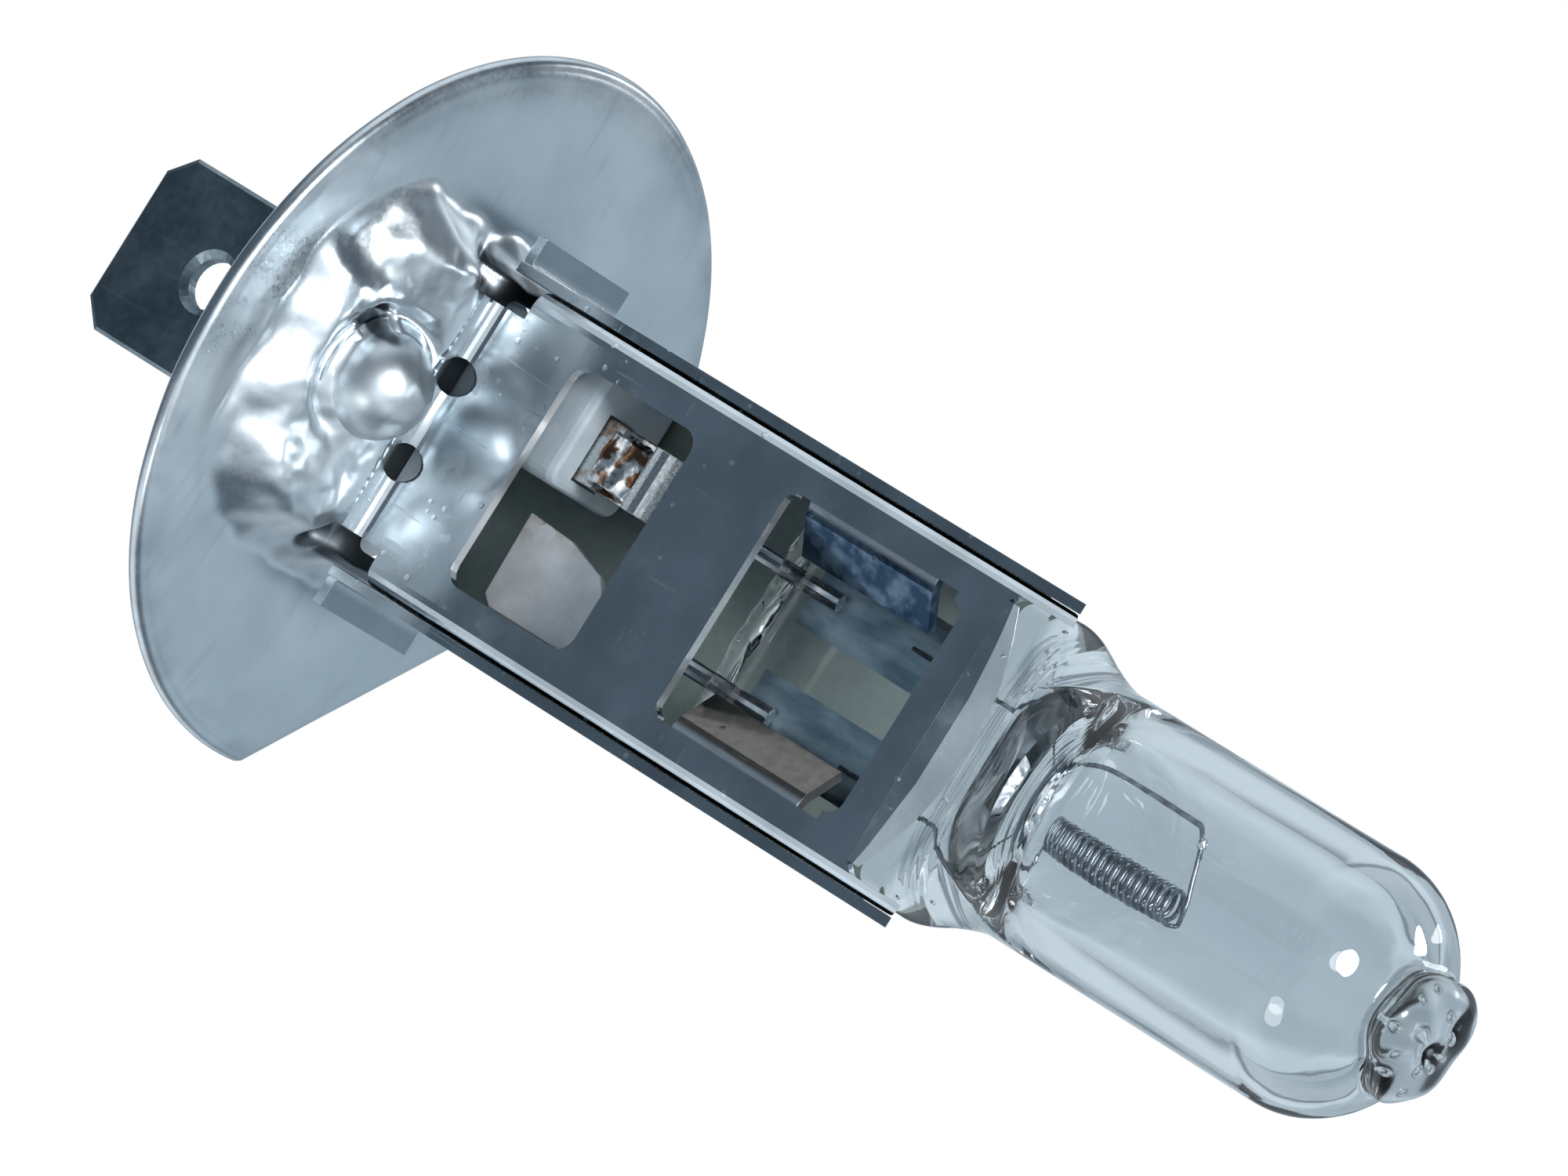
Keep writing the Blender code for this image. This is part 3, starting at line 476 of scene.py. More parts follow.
def disc_look():
    look = Look("disc_steel_look", Metallic=1.0)
    radius = look.away((0, 0, 0), (1, 1, 0))
    cloud = look.noise(4.5, 3.0)
    grain = look.noise(0.16, 2.0)
    streak = look.noise(0.5, 3.0, (9, 1, 1), 2.0)
    tone = look.blend(look.remap(cloud, 0.3, 0.7), (0.60, 0.66, 0.70), (0.72, 0.78, 0.82))
    tone = look.blend(look.remap(streak, 0.55, 0.75, 0.0, 0.25), tone, (0.42, 0.48, 0.53))
    rim = look.remap(radius, 11.0, 11.8)
    mottle = look.remap(look.noise(1.6, 3.0, shift=7.0), 0.35, 0.65)
    mottle = look.math("MULTIPLY", mottle, 0.22)
    tone = look.blend(look.math("MULTIPLY", rim, mottle), tone, (0.14, 0.18, 0.21))
    specks = look.specks(1.9, 0.22, 2.0)
    tone = look.blend(look.math("MULTIPLY", specks, 0.3), tone, (0.16, 0.18, 0.20))
    under = look.remap(look.size((1, 0, 0)), 5.4, 5.2)
    shade = look.math("MULTIPLY", under, look.band(look.along((0, 1, 0)), -3.1, 2.9, 0.15))
    for centre, size in ((VENT, 0.55), (NOTCHES[0], 0.75), (NOTCHES[1], 0.75)):
        away = look.away((*centre, 1.0), (1, 1, 0.2))
        shade = look.math("MAXIMUM", shade, look.remap(away, size, size * 0.7))
    tone = look.blend(look.math("MULTIPLY", shade, 0.85), tone, (0.035, 0.045, 0.055))
    look.set("Base Color", tone)
    plain = look.remap(look.math("ADD", cloud, look.math("MULTIPLY", grain, 0.4)), 0.4, 0.95, 0.24, 0.40)
    pressed = look.remap(radius, 9.5, 8.0)
    rough = look.node("Mix", {0: pressed, 2: plain, 3: look.remap(cloud, 0.35, 0.65, 0.30, 0.40)}).outputs[0]
    from_dome = look.away((*DOME, DOME_BASE_Z))
    rough = look.math("ADD", rough, look.remap(from_dome, DOME_RADIUS + 0.4, DOME_RADIUS, 0.0, 0.06))
    look.set("Roughness", rough)
    look.bumps((look.noise(1.3, 3.0, shift=4.0), 0.018), (grain, 0.0012), (streak, 0.003))
    return look.material


def sleeve_look(name, tint, matt_back=0.0):
    """Bright plated sheet with specks and heat colours; matt_back dulls the inside of the rear wall."""
    look = Look(name, Metallic=1.0)
    cloud = look.noise(3.0, 4.0, shift=1.0)
    fine = look.noise(0.35, 3.0, shift=2.0)
    lines = scratches(look, 0.22, 4.0)
    specks = look.specks(0.55, 0.46, 1.0)
    dull = look.remap(look.noise(1.1, 5.0, shift=9.0), 0.56, 0.66)
    dark, light = [tuple(c * s for c in tint) for s in (0.80, 1.08)]
    tone = look.blend(look.remap(cloud, 0.3, 0.7), dark, light)
    tone = look.blend(look.math("MULTIPLY", specks, 0.55), tone, (0.92, 0.95, 0.97))
    height, depth, side = look.along((0, 0, 1)), look.along((0, 1, 0)), look.along((1, 0, 0))
    aside = look.size((1, 0, 0))
    # Painted highlight: faces turned up or down above the foot, such as the cut edges, get a near-white
    # tone; they are also made rougher further on.
    edge = look.math("MAXIMUM", look.facing((0, 0, 1), 0.78, 0.95), look.facing((0, 0, -1), 0.45, 0.9))
    edge = look.math("MULTIPLY", edge, look.remap(height, 2.6, 3.4))
    tone = look.blend(edge, tone, (0.95, 0.97, 0.98))
    # Painted shade: the ears, bent out flat beside the disc, get a darker tone than the rest of the same
    # sheet.
    ear_shade = look.math("MULTIPLY", look.remap(height, 3.0, 2.0), look.remap(aside, 5.75, 6.0))
    tone = look.blend(look.math("MULTIPLY", ear_shade, 0.6), tone, (0.22, 0.27, 0.31))
    low, high = WINDOW_BEND
    inside = look.math("MULTIPLY", look.band(height, low, high, 0.1), look.band(depth, -2.93, -1.4, 0.04))
    inside = look.math("MULTIPLY", inside, look.remap(aside, 4.4, 4.2))
    brown = look.blend(fine, (0.09, 0.085, 0.08), (0.20, 0.19, 0.17))
    blue = look.remap(look.noise(0.8, 4.0, shift=3.0), 0.4, 0.62)
    blue = look.blend(blue, (0.02, 0.045, 0.085), (0.10, 0.15, 0.21))
    tone = look.blend(inside, tone, look.blend(look.remap(side, -0.5, 0.5), blue, brown))
    back = look.math("MULTIPLY", look.remap(depth, 2.3, 2.45), look.facing((0, -1, 0), 0.3, 0.7))
    back = look.math("MULTIPLY", back, matt_back)
    tone = look.blend(back, tone, look.blend(fine, (0.17, 0.215, 0.21), (0.24, 0.29, 0.28)))
    look.set("Base Color", tone)
    look.set("Metallic", look.remap(back, 0.0, 1.0, 1.0, 0.25))
    rough = look.remap(cloud, 0.3, 0.75, 0.07, 0.16)
    rough = look.math("ADD", rough, look.math("MULTIPLY", back, 0.4))
    rough = look.math("ADD", rough, look.math("MULTIPLY", dull, 0.10))
    rough = look.math("ADD", rough, look.math("MULTIPLY", edge, 0.25))
    rough = look.math("ADD", rough, look.remap(height, 6.5, 3.5, 0.0, 0.13))
    rough = look.math("ADD", rough, look.math("MULTIPLY", look.math("MAXIMUM", specks, lines), 0.16))
    look.set("Roughness", rough)
    look.bumps((look.noise(2.2, 2.0, shift=6.0), 0.012), (fine, 0.0016), (lines, 0.0008), (specks, 0.006))
    return look.material


def glass_look():
    look = Look("quartz_look", Metallic=0.0, Transmission_Weight=1.0, IOR=1.458)
    look.set("Base Color", look.blend(look.noise(5.0, 2.0), (0.975, 0.99, 1.0), (0.99, 0.997, 1.0)))
    height = look.along((0, 0, 1))
    rough = look.remap(look.specks(0.5, 0.36, 6.0), 0.0, 1.0, 0.0, 0.12)
    nub = look.remap(height, NUB[0][1] - 0.2, NUB[0][1] + 0.25, 0.0, NUB_FROST)
    fold = look.band(height, SHOULDER_Z[0] + 0.9, SHOULDER_Z[1] - 0.8, 0.5)
    fold = look.math("MULTIPLY", fold, FOLD_FROST)
    look.set("Roughness", look.math("MAXIMUM", rough, look.math("MAXIMUM", nub, fold)))
    wave = look.noise(1.6, 2.0, (1, 1, 3), 3.0)
    look.bumps((wave, 0.010), (look.noise(0.5, 2.0, (1, 1, 2), 8.0), 0.0012))
    return look.material


def ceramic_look():
    look = Look("ceramic_look", Metallic=0.0, Specular_IOR_Level=0.45)
    grain = look.noise(0.09, 4.0)
    cloud = look.noise(1.4, 4.0, shift=2.0)
    tone = look.blend(look.remap(cloud, 0.3, 0.7), (0.36, 0.43, 0.48), (0.46, 0.53, 0.58))
    tone = look.blend(look.math("MULTIPLY", look.specks(0.42, 0.42), 0.5), tone, (0.24, 0.26, 0.27))
    look.set("Base Color", tone)
    look.set("Roughness", look.remap(grain, 0.3, 0.7, 0.42, 0.66))
    look.bumps((cloud, 0.02), (grain, 0.008))
    return look.material


def blade_look():
    look = Look("blade_look", Metallic=1.0)
    grain = look.noise(0.3, 4.0)
    cloud = look.noise(1.9, 4.0, shift=5.0)
    roll = look.noise(0.18, 2.0, (1, 1, 16), 1.0)
    tone = look.blend(look.remap(cloud, 0.35, 0.65), (0.17, 0.22, 0.255), (0.27, 0.335, 0.375))
    tone = look.blend(look.remap(roll, 0.6, 0.75, 0.0, 0.3), tone, (0.38, 0.45, 0.49))
    look.set("Base Color", tone)
    look.set("Roughness", look.remap(grain, 0.35, 0.65, 0.36, 0.5))
    look.bumps((cloud, 0.01), (grain, 0.005), (roll, 0.003))
    return look.material


def tinted_look(name, tone, axis, start, reach, roughness, metallic=1.0):
    """Rolled nickel with brown heat colours that fade along an axis over the reach from the start."""
    look = Look(name, Metallic=metallic)
    cloud = look.noise(0.55, 5.0, shift=2.0, twist=0.6)
    fine = look.noise(0.12, 4.0, shift=6.0)
    heat = look.remap(look.along(axis), start, start + reach, 1.0, 0.0)
    heat = look.math("MULTIPLY", heat, look.remap(cloud, 0.38, 0.62))
    base = look.blend(look.remap(look.noise(1.2, 3.0), 0.3, 0.7), tuple(0.82 * c for c in tone), tone)
    burnt = look.blend(look.remap(fine, 0.4, 0.6), (0.20, 0.085, 0.03), (0.48, 0.30, 0.17))
    look.set("Base Color", look.blend(look.math("MULTIPLY", heat, 0.85), base, burnt))
    look.set("Roughness", look.remap(fine, 0.3, 0.7, roughness - 0.06, roughness + 0.1))
    look.bumps((cloud, 0.02), (fine, 0.006))
    return look.material


def weld_look():
    look = Look("weld_look", Metallic=1.0)
    cloud = look.noise(0.9, 4.0, twist=0.8)
    spots = look.remap(look.noise(0.8, 3.0, shift=8.0), 0.50, 0.58)
    soot = look.remap(look.noise(1.1, 4.0, shift=4.0), 0.60, 0.68)
    tone = look.blend(look.remap(cloud, 0.4, 0.6), (0.62, 0.64, 0.65), (0.97, 0.97, 0.95))
    tone = look.blend(spots, tone, (0.19, 0.10, 0.055))
    look.set("Base Color", look.blend(soot, tone, (0.035, 0.03, 0.03)))
    look.set("Roughness", look.remap(cloud, 0.3, 0.7, 0.12, 0.34))
    look.bumps((cloud, 0.025), (look.noise(0.15, 3.0), 0.003))
    return look.material


def foil_look():
    look = Look("foil_look", Metallic=1.0)
    cloud = look.noise(0.8, 4.0, (1, 1, 3))
    tone = look.blend(look.remap(cloud, 0.35, 0.65), (0.10, 0.15, 0.19), (0.24, 0.31, 0.36))
    look.set("Base Color", tone)
    look.set("Roughness", look.remap(cloud, 0.3, 0.7, 0.26, 0.42))
    look.bumps((cloud, 0.02), (look.noise(0.1, 2.0, (1, 1, 8)), 0.004))
    return look.material


def wire_look(name, dark, light, roughness, grain_size):
    """Drawn wire: fine lengthwise streaks and patches of tarnish."""
    look = Look(name, Metallic=1.0)
    grain = look.noise(grain_size, 3.0, (1, 1, 6))
    look.set("Base Color", look.blend(look.remap(look.noise(grain_size * 6, 3.0), 0.35, 0.65), dark, light))
    look.set("Roughness", look.remap(grain, 0.3, 0.7, roughness - 0.07, roughness + 0.1))
    look.bumps((grain, 0.003))
    return look.material


# ---------------------------------------------------------------- mesh helpers

def mesh_piece(name, shell, finish, replaces=()):
    """A smooth visual piece from a shell in millimetres; faces keep the direction they are given in."""
    mesh = bpy.data.meshes.new(name)
    mesh.from_pydata([tuple(float(c) * MM for c in p) for p in shell.points], [], shell.faces)
    mesh.validate()
    mesh.shade_smooth()
    mesh.materials.append(finish)
    obj = bpy.data.objects.new(name, mesh)
    bpy.context.scene.collection.objects.link(obj)
    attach(obj, "root")
    if replaces:
        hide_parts(*replaces)
    return obj


class Shell:
    """Collects points and faces of one or more closed shells."""

    def __init__(self):
        self.points, self.faces = [], []

    def loft(self, rings, inward=False, close=True, loop=False):
        """Skin through equal rings, each counter-clockwise when seen from the end."""
        start, count = len(self.points), len(rings[0])
        self.points += [tuple(p) for ring in rings for p in ring]
        added = []
        for r in range(len(rings) if loop else len(rings) - 1):
            a, b = start + r * count, start + ((r + 1) % len(rings)) * count
            added += [(a + i, a + (i + 1) % count, b + (i + 1) % count, b + i) for i in range(count)]
        if close and not loop:
            last = start + (len(rings) - 1) * count
            for first, turn in ((start, -1), (last, 1)):
                middle = len(self.points)
                ring = self.points[first:first + count]
                self.points.append(tuple(sum(p[k] for p in ring) / count for k in range(3)))
                for i in range(count):
                    pair = (first + i, first + (i + 1) % count)[::turn]
                    added.append((middle, *pair))
        self.faces += [f[::-1] for f in added] if inward else added

    def wire(self, path, radius, sides=10):
        """Round wire along points; the radius may change from point to point."""
        path = [Vector(p) for p in path]
        radii = radius if isinstance(radius, list) else [radius] * len(path)
        last = len(path) - 1
        runs = [(path[min(i + 1, last)] - path[max(i - 1, 0)]).normalized() for i in range(last + 1)]
        normal, rings = runs[0].orthogonal().normalized(), []
        for point, run, r in zip(path, runs, radii):
            normal = (normal - run * normal.dot(run)).normalized()
            side = run.cross(normal)
            turns = [2 * math.pi * k / sides for k in range(sides)]
            rings.append([point + r * (math.cos(a) * normal + math.sin(a) * side) for a in turns])
        self.loft(rings)

    def ball(self, centre, radii, inward=False, steps=16, dent=None):
        """Closed rounded lump; dent(direction) scales its radius."""
        rings = []
        for i in range(1, steps):
            up = -math.pi / 2 + math.pi * i / steps
            ring = []
            for k in range(2 * steps):
                turn = math.pi * k / steps
                way = Vector((math.cos(up) * math.cos(turn), math.cos(up) * math.sin(turn), math.sin(up)))
                size = dent(way) if dent else 1.0
                ring.append(tuple(c + r * size * w for c, r, w in zip(centre, radii, way)))
            rings.append(ring)
        self.loft(rings, inward)


def rounded_path(corners, radius, steps=9):
    """A polyline whose inner corners are rounded."""
    corners = [Vector(c) for c in corners]
    path = [corners[0]]
    for before, corner, after in zip(corners, corners[1:], corners[2:]):
        into, out = before - corner, after - corner
        reach = min(radius, 0.45 * min(into.length, out.length))
        start, end = corner + into.normalized() * reach, corner + out.normalized() * reach
        for i in range(steps + 1):
            t = i / steps
            path.append((1 - t) ** 2 * start + 2 * t * (1 - t) * corner + t * t * end)
    path.append(corners[-1])
    return [tuple(p) for p in path]


def smooth(value, low, high):
    t = min(max((value - low) / (high - low), 0.0), 1.0)
    return t * t * (3 - 2 * t)


def hill(x, y, centre, size):
    """1 at the centre of a soft round hill, 0 well away from it."""
    return math.exp(-(((x - centre[0]) / size[0]) ** 2 + ((y - centre[1]) / size[1]) ** 2))


def rumple(x, y, z=0.0, octaves=3):
    return noise.fractal(Vector((x, y, z)), 0.8, 2.0, octaves)


# ---------------------------------------------------------------- disc

def disc_reach(turn):
    """Distance from the axis to the disc's edge, with its flat at 45 degrees."""
    towards_flat = math.cos(turn - math.radians(45))
    return min(DISC_RADIUS, DISC_FLAT / towards_flat) if towards_flat > 0.1 else DISC_RADIUS


def opening_reach(turn):
    """Distance from the axis to the opening round the ceramic core."""
    c, s = abs(math.cos(turn)) / OPENING_HALF[0], abs(math.sin(turn)) / OPENING_HALF[1]
    return (c ** OPENING_POWER + s ** OPENING_POWER) ** (-1 / OPENING_POWER)


def hub_depth(x, y):
    """Distance inside the outline of the pressed hub."""
    qx = abs(x) - (HUB_HALF_X - HUB_CORNER)
    qy = abs(y - HUB_MIDDLE_Y) - (HUB_HALF_Y - HUB_CORNER)
    outside = math.hypot(max(qx, 0), max(qy, 0)) + min(max(qx, qy), 0)
    return HUB_CORNER - outside


def hub_height(x, y):
    """Face of the disc in millimetres above its flat part: the crumpled hub and its dents."""
    inside = hub_depth(x, y) + 0.25 * rumple(x * 0.5, y * 0.5, 3.0, 2)
    rise = smooth(inside, 0.0, 2.0)
    plate = 0.02 * rumple(x * 0.28, y * 0.28, 9.0, 2) - 0.05 * hill(x, y, (2.4, -9.9), (1.6, 0.5))
    if rise == 0.0:
        return plate
    height = rise * (HUB_TALL - HUB_DROP * smooth(-y, 4.4, 9.4))
    front = smooth(-y, 4.0, 5.0)
    wrinkles = 0.13 * rumple(x * 0.42, y * 0.42, 1.0) + 0.05 * rumple(x * 0.95, y * 0.95, 5.0)
    dents = sum(tall * hill(x, y, centre, size) for tall, centre, size in HUB_DENTS)
    on_hub = smooth(rise, 0.0, 0.35)
    height += front * rise * wrinkles + dents * on_hub + plate * (1 - on_hub)
    away = math.hypot(x - DOME[0], y - DOME[1])
    behind = smooth(-(y - DOME[1]) - 0.5 * (x - DOME[0]), -1.4, 0.9)
    height -= 0.42 * behind * math.exp(-((away - 2.2) / 0.34) ** 2)
    height -= 0.9 * math.exp(-(math.hypot(x - VENT[0], y - VENT[1]) / 0.52) ** 4)
    if y > -3.95 and abs(x) < 6.9:
        height = min(height, SLEEVE_SEAT_Z)
    for notch in NOTCHES:
        height -= 0.8 * hill(x, y, notch, (0.7, 0.7))
    return max(height, min(plate, 0.0))


def face_height(x, y, reach):
    """Front face, with the shallow valley and the raised lip along the disc's edge."""
    from_edge = reach - math.hypot(x, y)
    lip = 0.03 * math.exp(-((from_edge - 0.45) / 0.22) ** 2)
    wave = 0.008 * rumple(x * 0.5, y * 0.5, 2.0, 2) * math.exp(-((from_edge - 0.6) / 0.6) ** 2)
    roll = RIM_ROLL * max(1 - from_edge / 2.0, 0.0) ** 2
    return hub_height(x, y) + lip + wave - roll


def dome_rings():
    """The small dome on the hub, from its crown to its flared foot."""
    rings = []
    for k in range(DOME_RINGS):
        share = k / (DOME_RINGS - 1)
        if share < DOME_ROUND:
            up = math.pi / 2 * 0.9 * (1 - share / DOME_ROUND)
            r, z = DOME_RADIUS * math.cos(up), DOME_RADIUS * math.sin(up)
        else:
            t = (share - DOME_ROUND) / (1 - DOME_ROUND)
            r, z = DOME_RADIUS + 0.35 * t * t, -0.5 * t
        ring = []
        for i in range(DOME_STEPS):
            turn = 2 * math.pi * i / DOME_STEPS
            x, y = DOME[0] + r * math.cos(turn), DOME[1] + r * math.sin(turn)
            ring.append((x, y, DOME_BASE_Z + z * (1 + 0.04 * rumple(x, y, 4.0, 2))))
        rings.append(ring[::-1])
    return rings


def build_disc(finish):
    """The disc with its hub as one pressed sheet, open round the ceramic core."""
    turns = [2 * math.pi * k / DISC_STEPS for k in range(DISC_STEPS)]
    edge = DISC_SHEET / 2
    rings = []

    def ring(share, back=False):
        made = []
        for turn in turns:
            near, far = opening_reach(turn), disc_reach(turn) - edge
            r = near + (far - near) * share
            x, y = r * math.cos(turn), r * math.sin(turn)
            z = face_height(x, y, disc_reach(turn))
            if back and share < 0.96:
                z = min(z, HUB_BACK_Z)
            made.append((x, y, z - DISC_SHEET * back))
        return made

    for i in range(DISC_RINGS + 1):
        rings.append(ring(i / DISC_RINGS))
    for k in range(1, EDGE_STEPS):
        bend = math.pi * k / EDGE_STEPS
        made = []
        for turn in turns:
            far = disc_reach(turn) - edge
            top = face_height(far * math.cos(turn), far * math.sin(turn), disc_reach(turn))
            r = far + edge * math.sin(bend)
            made.append((r * math.cos(turn), r * math.sin(turn), top - edge + edge * math.cos(bend)))
        rings.append(made)
    for i in range(BACK_RINGS, -1, -1):
        rings.append(ring(i / BACK_RINGS, True))
    shell = Shell()
    shell.loft([r[::-1] for r in rings], loop=True)
    shell.loft(dome_rings())
    mesh_piece("flange_disc_pressed", shell, finish, ("flange_disc",))


# ---------------------------------------------------------------- glass

def quarter(half_x, half_y, radius, power):
    """Outline from the X axis to the Y axis: straight sides and a round corner, or a superellipse."""
    if power:
        bend = [math.pi / 2 * i / CURVE_STEPS for i in range(1, CURVE_STEPS)]
        power = 2 / power
        curve = [(half_x * math.cos(a) ** power, half_y * math.sin(a) ** power) for a in bend]
        points = [(half_x, 0), *curve, (0, half_y)]
    else:
        cx, cy = half_x - radius, half_y - radius
        bend = [math.pi / 2 * i / CORNER_STEPS for i in range(CORNER_STEPS + 1)]
        corner = [(cx + radius * math.cos(a), cy + radius * math.sin(a)) for a in bend]
        points = [(half_x, 0), *corner, (0, half_y)]
    lengths = [0.0]
    for a, b in zip(points, points[1:]):
        lengths.append(lengths[-1] + math.dist(a, b))
    found, k = [], 0
    for i in range(GLASS_STEPS):
        wanted = lengths[-1] * i / GLASS_STEPS
        while lengths[k + 1] < wanted:
            k += 1
        t = (wanted - lengths[k]) / max(lengths[k + 1] - lengths[k], 1e-9)
        found.append(tuple(a + (b - a) * t for a, b in zip(points[k], points[k + 1])))
    return found + [points[-1]]


def section(half_x, half_y, radius, z, power=None):
    """Closed ring, counter-clockwise from above."""
    part = quarter(half_x, half_y, radius, power)
    ring = part[:-1]
    ring += [(-x, y) for x, y in part[:0:-1]]
    ring += [(-x, -y) for x, y in part[:-1]]
    ring += [(x, -y) for x, y in part[:0:-1]]
    return [(x, y, z) for x, y in ring]


def shoulder_size(z):
    """Half width, half depth and corner radius of the glass between the pinch and the tube."""
    t = (z - SHOULDER_Z[0]) / (SHOULDER_Z[1] - SHOULDER_Z[0])
    ease = 0.45 * t + 0.55 * t * t * (3 - 2 * t)
    bulge = 0.1 * math.sin(math.pi * min(t * 2.2, 1.0))
    half_x = PINCH_HALF[0] + bulge + (TUBE_RADIUS - PINCH_HALF[0]) * smooth(t, 0.05, 0.9)
    half_y = PINCH_HALF[1] + (TUBE_RADIUS - PINCH_HALF[1]) * ease ** 0.85
    radius = PINCH_CORNER + (TUBE_RADIUS - PINCH_CORNER) * ease ** 0.55
    radius = min(radius, half_y - 1e-3, half_x - 1e-3)
    return half_x, half_y, radius


def glass_wobble(x, y, z):
    """Marks of the pinching and the flame on the outside of the glass."""
    if z < RIPPLE_Z:
        low = smooth(z, PINCH_Z + 1.3, PINCH_Z)
        return Vector((0, 0.05 * low * rumple(x * 1.4, z * 2.0), 0.10 * low * rumple(x * 1.1, y * 2, 3.0)))
    if z < TUBE_Z[0] + 0.5:
        window = smooth(z, RIPPLE_Z, SHOULDER_Z[0]) * smooth(z, TUBE_Z[0] + 0.5, TUBE_Z[0] - 1.6)
        spread = max(1 - (x / PINCH_HALF[0]) ** 2, 0.0) + 0.10
        line = (z - FOLD_Z) / spread
        window *= smooth(line, -2.2, -1.7) * smooth(line, 1.5, 0.7)
        phase = 8.5 * line + 0.7 * rumple(x * 0.3, line, 7.0, 2)
        lift = 0.032 * window * spread ** 0.7 * (math.sin(phase) + 0.4 * math.sin(2.1 * phase + 1.0))
        lift += 0.03 * window * rumple(x * 0.35, z * 0.5, 2.0, 2)
        return Vector((0, math.copysign(lift, y) * min(abs(y), 1.0), 0))
    return Vector((0.012 * rumple(x, y, z * 0.15, 2), 0.012 * rumple(y, x, z * 0.15 + 4, 2), 0))


def rounded_stations(stations, passes=3):
    """Cuts the corners of a list of stations until it runs smoothly."""
    for _ in range(passes):
        cut = [stations[0]]
        for a, b in zip(stations, stations[1:]):
            cut += [tuple(p + (q - p) * t for p, q in zip(a, b)) for t in (0.25, 0.75)]
        stations = [*cut, stations[-1]]
    return stations


def nub_point(x, y, z, p):
    """Moves a point of the tip to give it lobes round its side and pits in its end."""
    foot = NUB[0][1]
    turn = math.atan2(y, x)
    lobes = 0.07 * math.sin(3 * turn + 0.8) + 0.04 * math.sin(5 * turn + 2.0 * z) - 0.03
    grow = 1 + smooth(z, foot - 0.4, foot + 0.2) * lobes
    pits = 0.26 * hill(x, y, (0.3, -0.4), (0.35, 0.35)) + 0.16 * hill(x, y, (-0.8, 0.3), (0.4, 0.3))
    return Vector((p.x * grow, p.y * grow, p.z - smooth(z, NUB_TOP - 0.5, NUB_TOP) * pits))


def glass_outside():
    """Rings of the outer skin, from the pinched end up to the sealed tip."""
    rings = []
    for up, inset, radius in PINCH_ROUND:
        rings.append(section(PINCH_HALF[0] - inset, PINCH_HALF[1] - inset, radius, PINCH_Z + up))
    z = PINCH_Z + 0.45
    while z < RIPPLE_Z:
        rings.append(section(*PINCH_HALF, PINCH_CORNER, z))
        z += 0.15 if z < PINCH_Z + 1.4 else 0.6
    while z < SHOULDER_Z[0]:
        rings.append(section(*PINCH_HALF, PINCH_CORNER, z))
        z += RING_GAP
    while z < SHOULDER_Z[1]:
        rings.append(section(*shoulder_size(z), z))
        z += RING_GAP
    for i in range(TUBE_RINGS + 1):
        z = TUBE_Z[0] + (TUBE_Z[1] - TUBE_Z[0]) * i / TUBE_RINGS
        rings.append(section(TUBE_RADIUS, TUBE_RADIUS, TUBE_RADIUS - 1e-3, z))
    for i in range(1, GLASS_DOME_RINGS + 1):
        turn = math.radians(DOME_END_ANGLE * i / GLASS_DOME_RINGS)
        r = TUBE_RADIUS * math.cos(turn)
        rings.append(section(r, r, r - 1e-4, TUBE_Z[1] + GLASS_DOME_HEIGHT * math.sin(turn)))
    rings += [section(r, r, r - 1e-4, z) for r, z in rounded_stations(NUB, 2)[1:]]
    shaped = []
    for ring in rings:
        made = []
        for x, y, z in ring:
            p = Vector((x, y, z)) + glass_wobble(x, y, z)
            made.append(tuple(nub_point(x, y, z, p)))
        shaped.append(made)
    return shaped


def chamber():
    """Inside of the tube: flat where it leaves the pinch, round further on, with a domed end."""
    rings = [section(half_x, half_y, 0, z, power) for z, half_x, half_y, power in rounded_stations(CHAMBER)]
    start, radius = CHAMBER[-1][0], CHAMBER[-1][1]
    for i in range(1, CHAMBER_END_RINGS):
        turn = math.pi / 2 * i / CHAMBER_END_RINGS
        r = radius * math.cos(turn) ** 0.9
        rings.append(section(r, r, 0, start + (CHAMBER_END - start) * math.sin(turn), 2.0))
    return rings


def build_glass(finish):
    shell = Shell()
    shell.loft(glass_outside())
    shell.loft(chamber(), inward=True)
    for x, y, z, size in BUBBLES:
        shell.ball((x, y, z), (size, size, size * 1.3), inward=True, steps=10)
    glass = mesh_piece("quartz_envelope_clear", shell, finish, ("quartz_envelope",))
    glass.visible_shadow = False


# ---------------------------------------------------------------- filament and leads

def coil_wire():
    """Middle line of the coil, which bows and swells a little along its length."""
    low, high = COIL_Z
    last = COIL_TURNS * COIL_STEPS
    points = []
    for i in range(last + 1):
        turn = 2 * math.pi * i / COIL_STEPS
        bow = 0.05 * math.sin(math.pi * i / last)
        r = COIL_RADIUS * (1 + 0.015 * math.sin(turn * 0.37))
        z = low + (high - low) * i / last
        points.append((COIL_X + bow + r * math.cos(turn), r * math.sin(turn), z))
    return points


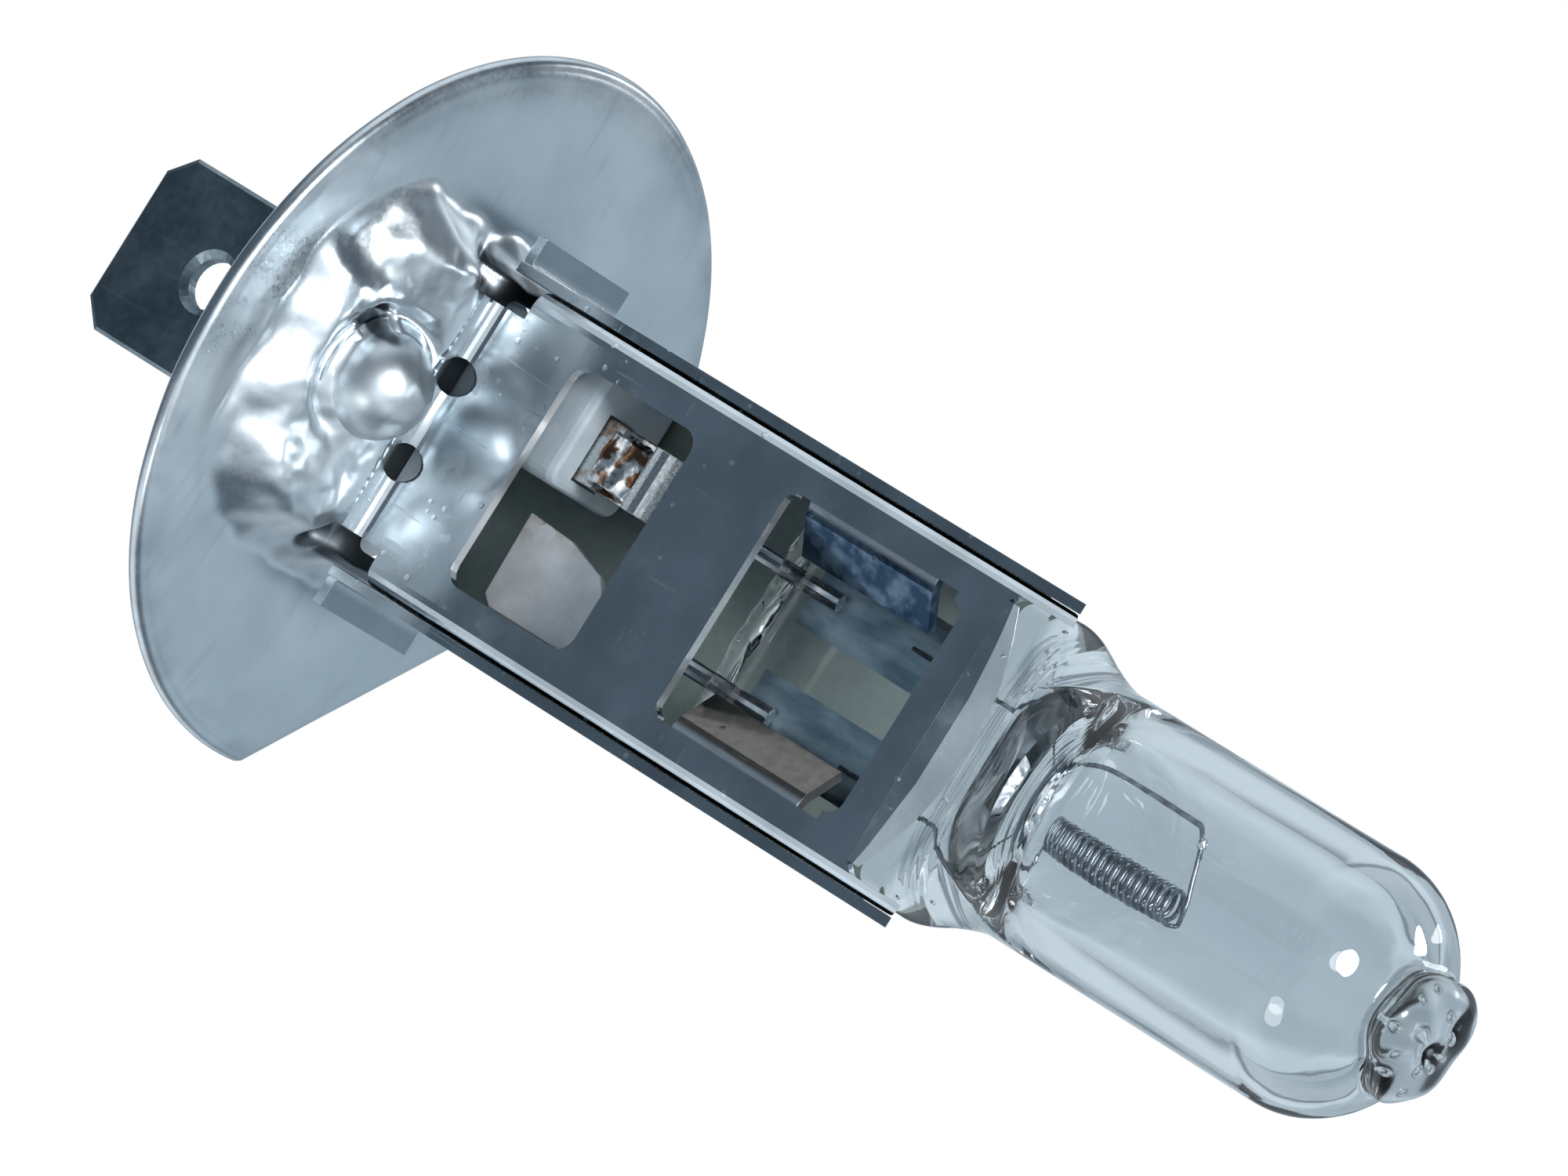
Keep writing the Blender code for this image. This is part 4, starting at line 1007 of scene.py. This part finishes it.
def build_leads(tungsten, bright):
    """Coil with its two tails, both inner leads and the beads that join them."""
    low, high = COIL_Z
    shell = Shell()
    shell.wire(coil_wire(), COIL_WIRE, 8)
    start = [
        (SHORT_LEAD_END[0] + 0.35, 0.0, SHORT_LEAD_END[2] - 0.12), SHORT_LEAD_END, (1.5, -0.02, low - 0.02),
        (COIL_X + COIL_RADIUS, 0.0, low),
    ]
    shell.wire(rounded_path(start, 0.25), COIL_WIRE, 10)
    end = [
        (COIL_X + COIL_RADIUS, 0.0, high), (COIL_X + 0.45, 0.35, high + 0.16),
        (COIL_X - 0.2, 0.15, high + 0.2), (-0.7, 0.0, LONG_LEAD_TOP + 0.35),
        (-1.35, 0.0, LONG_LEAD_TOP + 0.1),
    ]
    shell.wire(rounded_path(end, 0.3), TAIL_WIRE, 10)
    mesh_piece("filament_coil", shell, tungsten, ("filament",))

    start_z = FOIL_TOP - 1.3
    long_path = rounded_path([
        (LIVE_X, LEAD_Y, start_z), (LIVE_X, LEAD_Y, 24.6), (LIVE_X, 0.0, 26.4),
        (LIVE_X, 0.0, LONG_LEAD_TOP - 0.2), (LIVE_X + 0.3, 0.0, LONG_LEAD_TOP),
        (-1.0, 0.0, LONG_LEAD_TOP + 0.28),
    ], 0.6)
    short_path = rounded_path([
        (GROUND_X + 0.15, LEAD_Y, start_z), (GROUND_X + 0.15, LEAD_Y, 24.6), (GROUND_X + 0.2, 0.0, 26.0),
        (GROUND_X - 0.1, 0.0, SHORT_LEAD_END[2] - 0.1), SHORT_LEAD_END,
    ], 0.4)
    for node, path in (("long_lead", long_path), ("short_lead", short_path)):
        shell = Shell()
        shell.wire(path, LEAD_WIRE, 12)
        mesh_piece(node + "_wire", shell, tungsten, (node,))

    def crimp(way):
        return 1 - 0.18 * abs(math.sin(2.0 * way.x + 3.0 * way.z))

    for name, spot, node in (("long_lead_bead", (-1.45, 0.0, LONG_LEAD_TOP + 0.1), "long_lead_clamp"),
                             ("short_lead_bead", (1.72, -0.01, low - 0.06), "short_lead_clamp")):
        shell = Shell()
        shell.ball(spot, (0.24, 0.17, 0.17), dent=crimp)
        mesh_piece(name, shell, bright, (node,))


def build_weld(finish):
    """Spot weld between the live strip and its lead: a crumpled patch of molten metal."""
    shell = Shell()
    rings = []
    across, high = WELD_GRID
    (middle_x, half_x), (middle_z, half_z) = [((a + b) / 2, (b - a) / 2) for a, b in (WELD_X, WELD_Z)]
    for i in range(high + 1):
        v = -1 + 2 * i / high
        ring = []
        for k in range(across + 1):
            u = -1 + 2 * k / across
            x = middle_x + u * half_x * (1 + 0.06 * rumple(v * 2, u, 2.0))
            z = middle_z + v * half_z * (1 + 0.06 * rumple(u * 2, v, 6.0))
            edge = smooth(1 - abs(u), 0.0, 0.22) * smooth(1 - abs(v), 0.0, 0.22)
            out = edge * (0.18 + 0.12 * rumple(x * 0.9, z * 0.9, 1.0, 2))
            ring.append((x, WELD_Y - max(out, 0.0), z))
        ring += [(ring[-1][0], WELD_Y + 0.06, ring[-1][2]), (ring[0][0], WELD_Y + 0.06, ring[0][2])]
        rings.append(ring)
    shell.loft(rings)
    mesh_piece("strip_weld", shell, finish)


# ---------------------------------------------------------------- carried-over nodes

def soften(node, width):
    """Rolls the sharp edges of a carried-over part; its flat faces are merged first."""
    obj = NODES[node]
    weld = obj.modifiers.new("weld", "WELD")
    weld.merge_threshold = 1e-6
    flat = obj.modifiers.new("flat", "DECIMATE")
    flat.decimate_type = "DISSOLVE"
    flat.angle_limit = math.radians(0.5)
    bevel = obj.modifiers.new("bevel", "BEVEL")
    bevel.limit_method = "ANGLE"
    bevel.angle_limit = math.radians(32)
    bevel.width = width * MM
    bevel.segments = 3
    bevel.use_clamp_overlap = True
    bevel.harden_normals = False


def dress(node, material):
    obj = NODES[node]
    obj.data.materials.clear()
    obj.data.materials.append(material)


def main():
    disc = disc_look()
    tungsten = wire_look("tungsten_look", (0.10, 0.12, 0.15), (0.28, 0.31, 0.35), 0.30, 0.1)
    bright = wire_look("bead_look", (0.50, 0.53, 0.56), (0.85, 0.86, 0.86), 0.20, 0.12)
    molybdenum = wire_look("molybdenum_look", (0.35, 0.38, 0.42), (0.62, 0.66, 0.70), 0.22, 0.2)
    foil = foil_look()
    rivet = wire_look("rivet_look", (0.38, 0.41, 0.43), (0.55, 0.58, 0.60), 0.34, 0.25)
    ceramic = ceramic_look()
    live_strip = tinted_look("live_strip_look", (0.72, 0.74, 0.75), (0, 0, 1), 6.2, 2.6, 0.24)
    ground_tab = tinted_look("ground_tab_look", (0.74, 0.76, 0.78), (1, 0, 0.25), 1.6, 1.9, 0.5, 0.45)
    for node, material in (
        ("sleeve_front", sleeve_look("sleeve_front_look", (0.60, 0.66, 0.70))),
        ("sleeve_rear", sleeve_look("sleeve_rear_look", (0.50, 0.56, 0.60), 1.0)),
        ("terminal_blade", blade_look()),
        ("insulator_core", ceramic), ("insulator_base", ceramic),
        ("live_strip", live_strip), ("ground_tab", ground_tab),
        ("live_foil", foil), ("ground_foil", foil),
        ("live_outer_lead", molybdenum), ("ground_outer_lead", molybdenum),
        ("blade_rivet_left", rivet), ("blade_rivet_right", rivet),
    ):
        dress(node, material)
    for node, width in ROLLED_EDGES:
        soften(node, width)

    build_disc(disc)
    build_glass(glass_look())
    build_leads(tungsten, bright)
    build_weld(weld_look())
    add_camera()
    add_studio()


main()
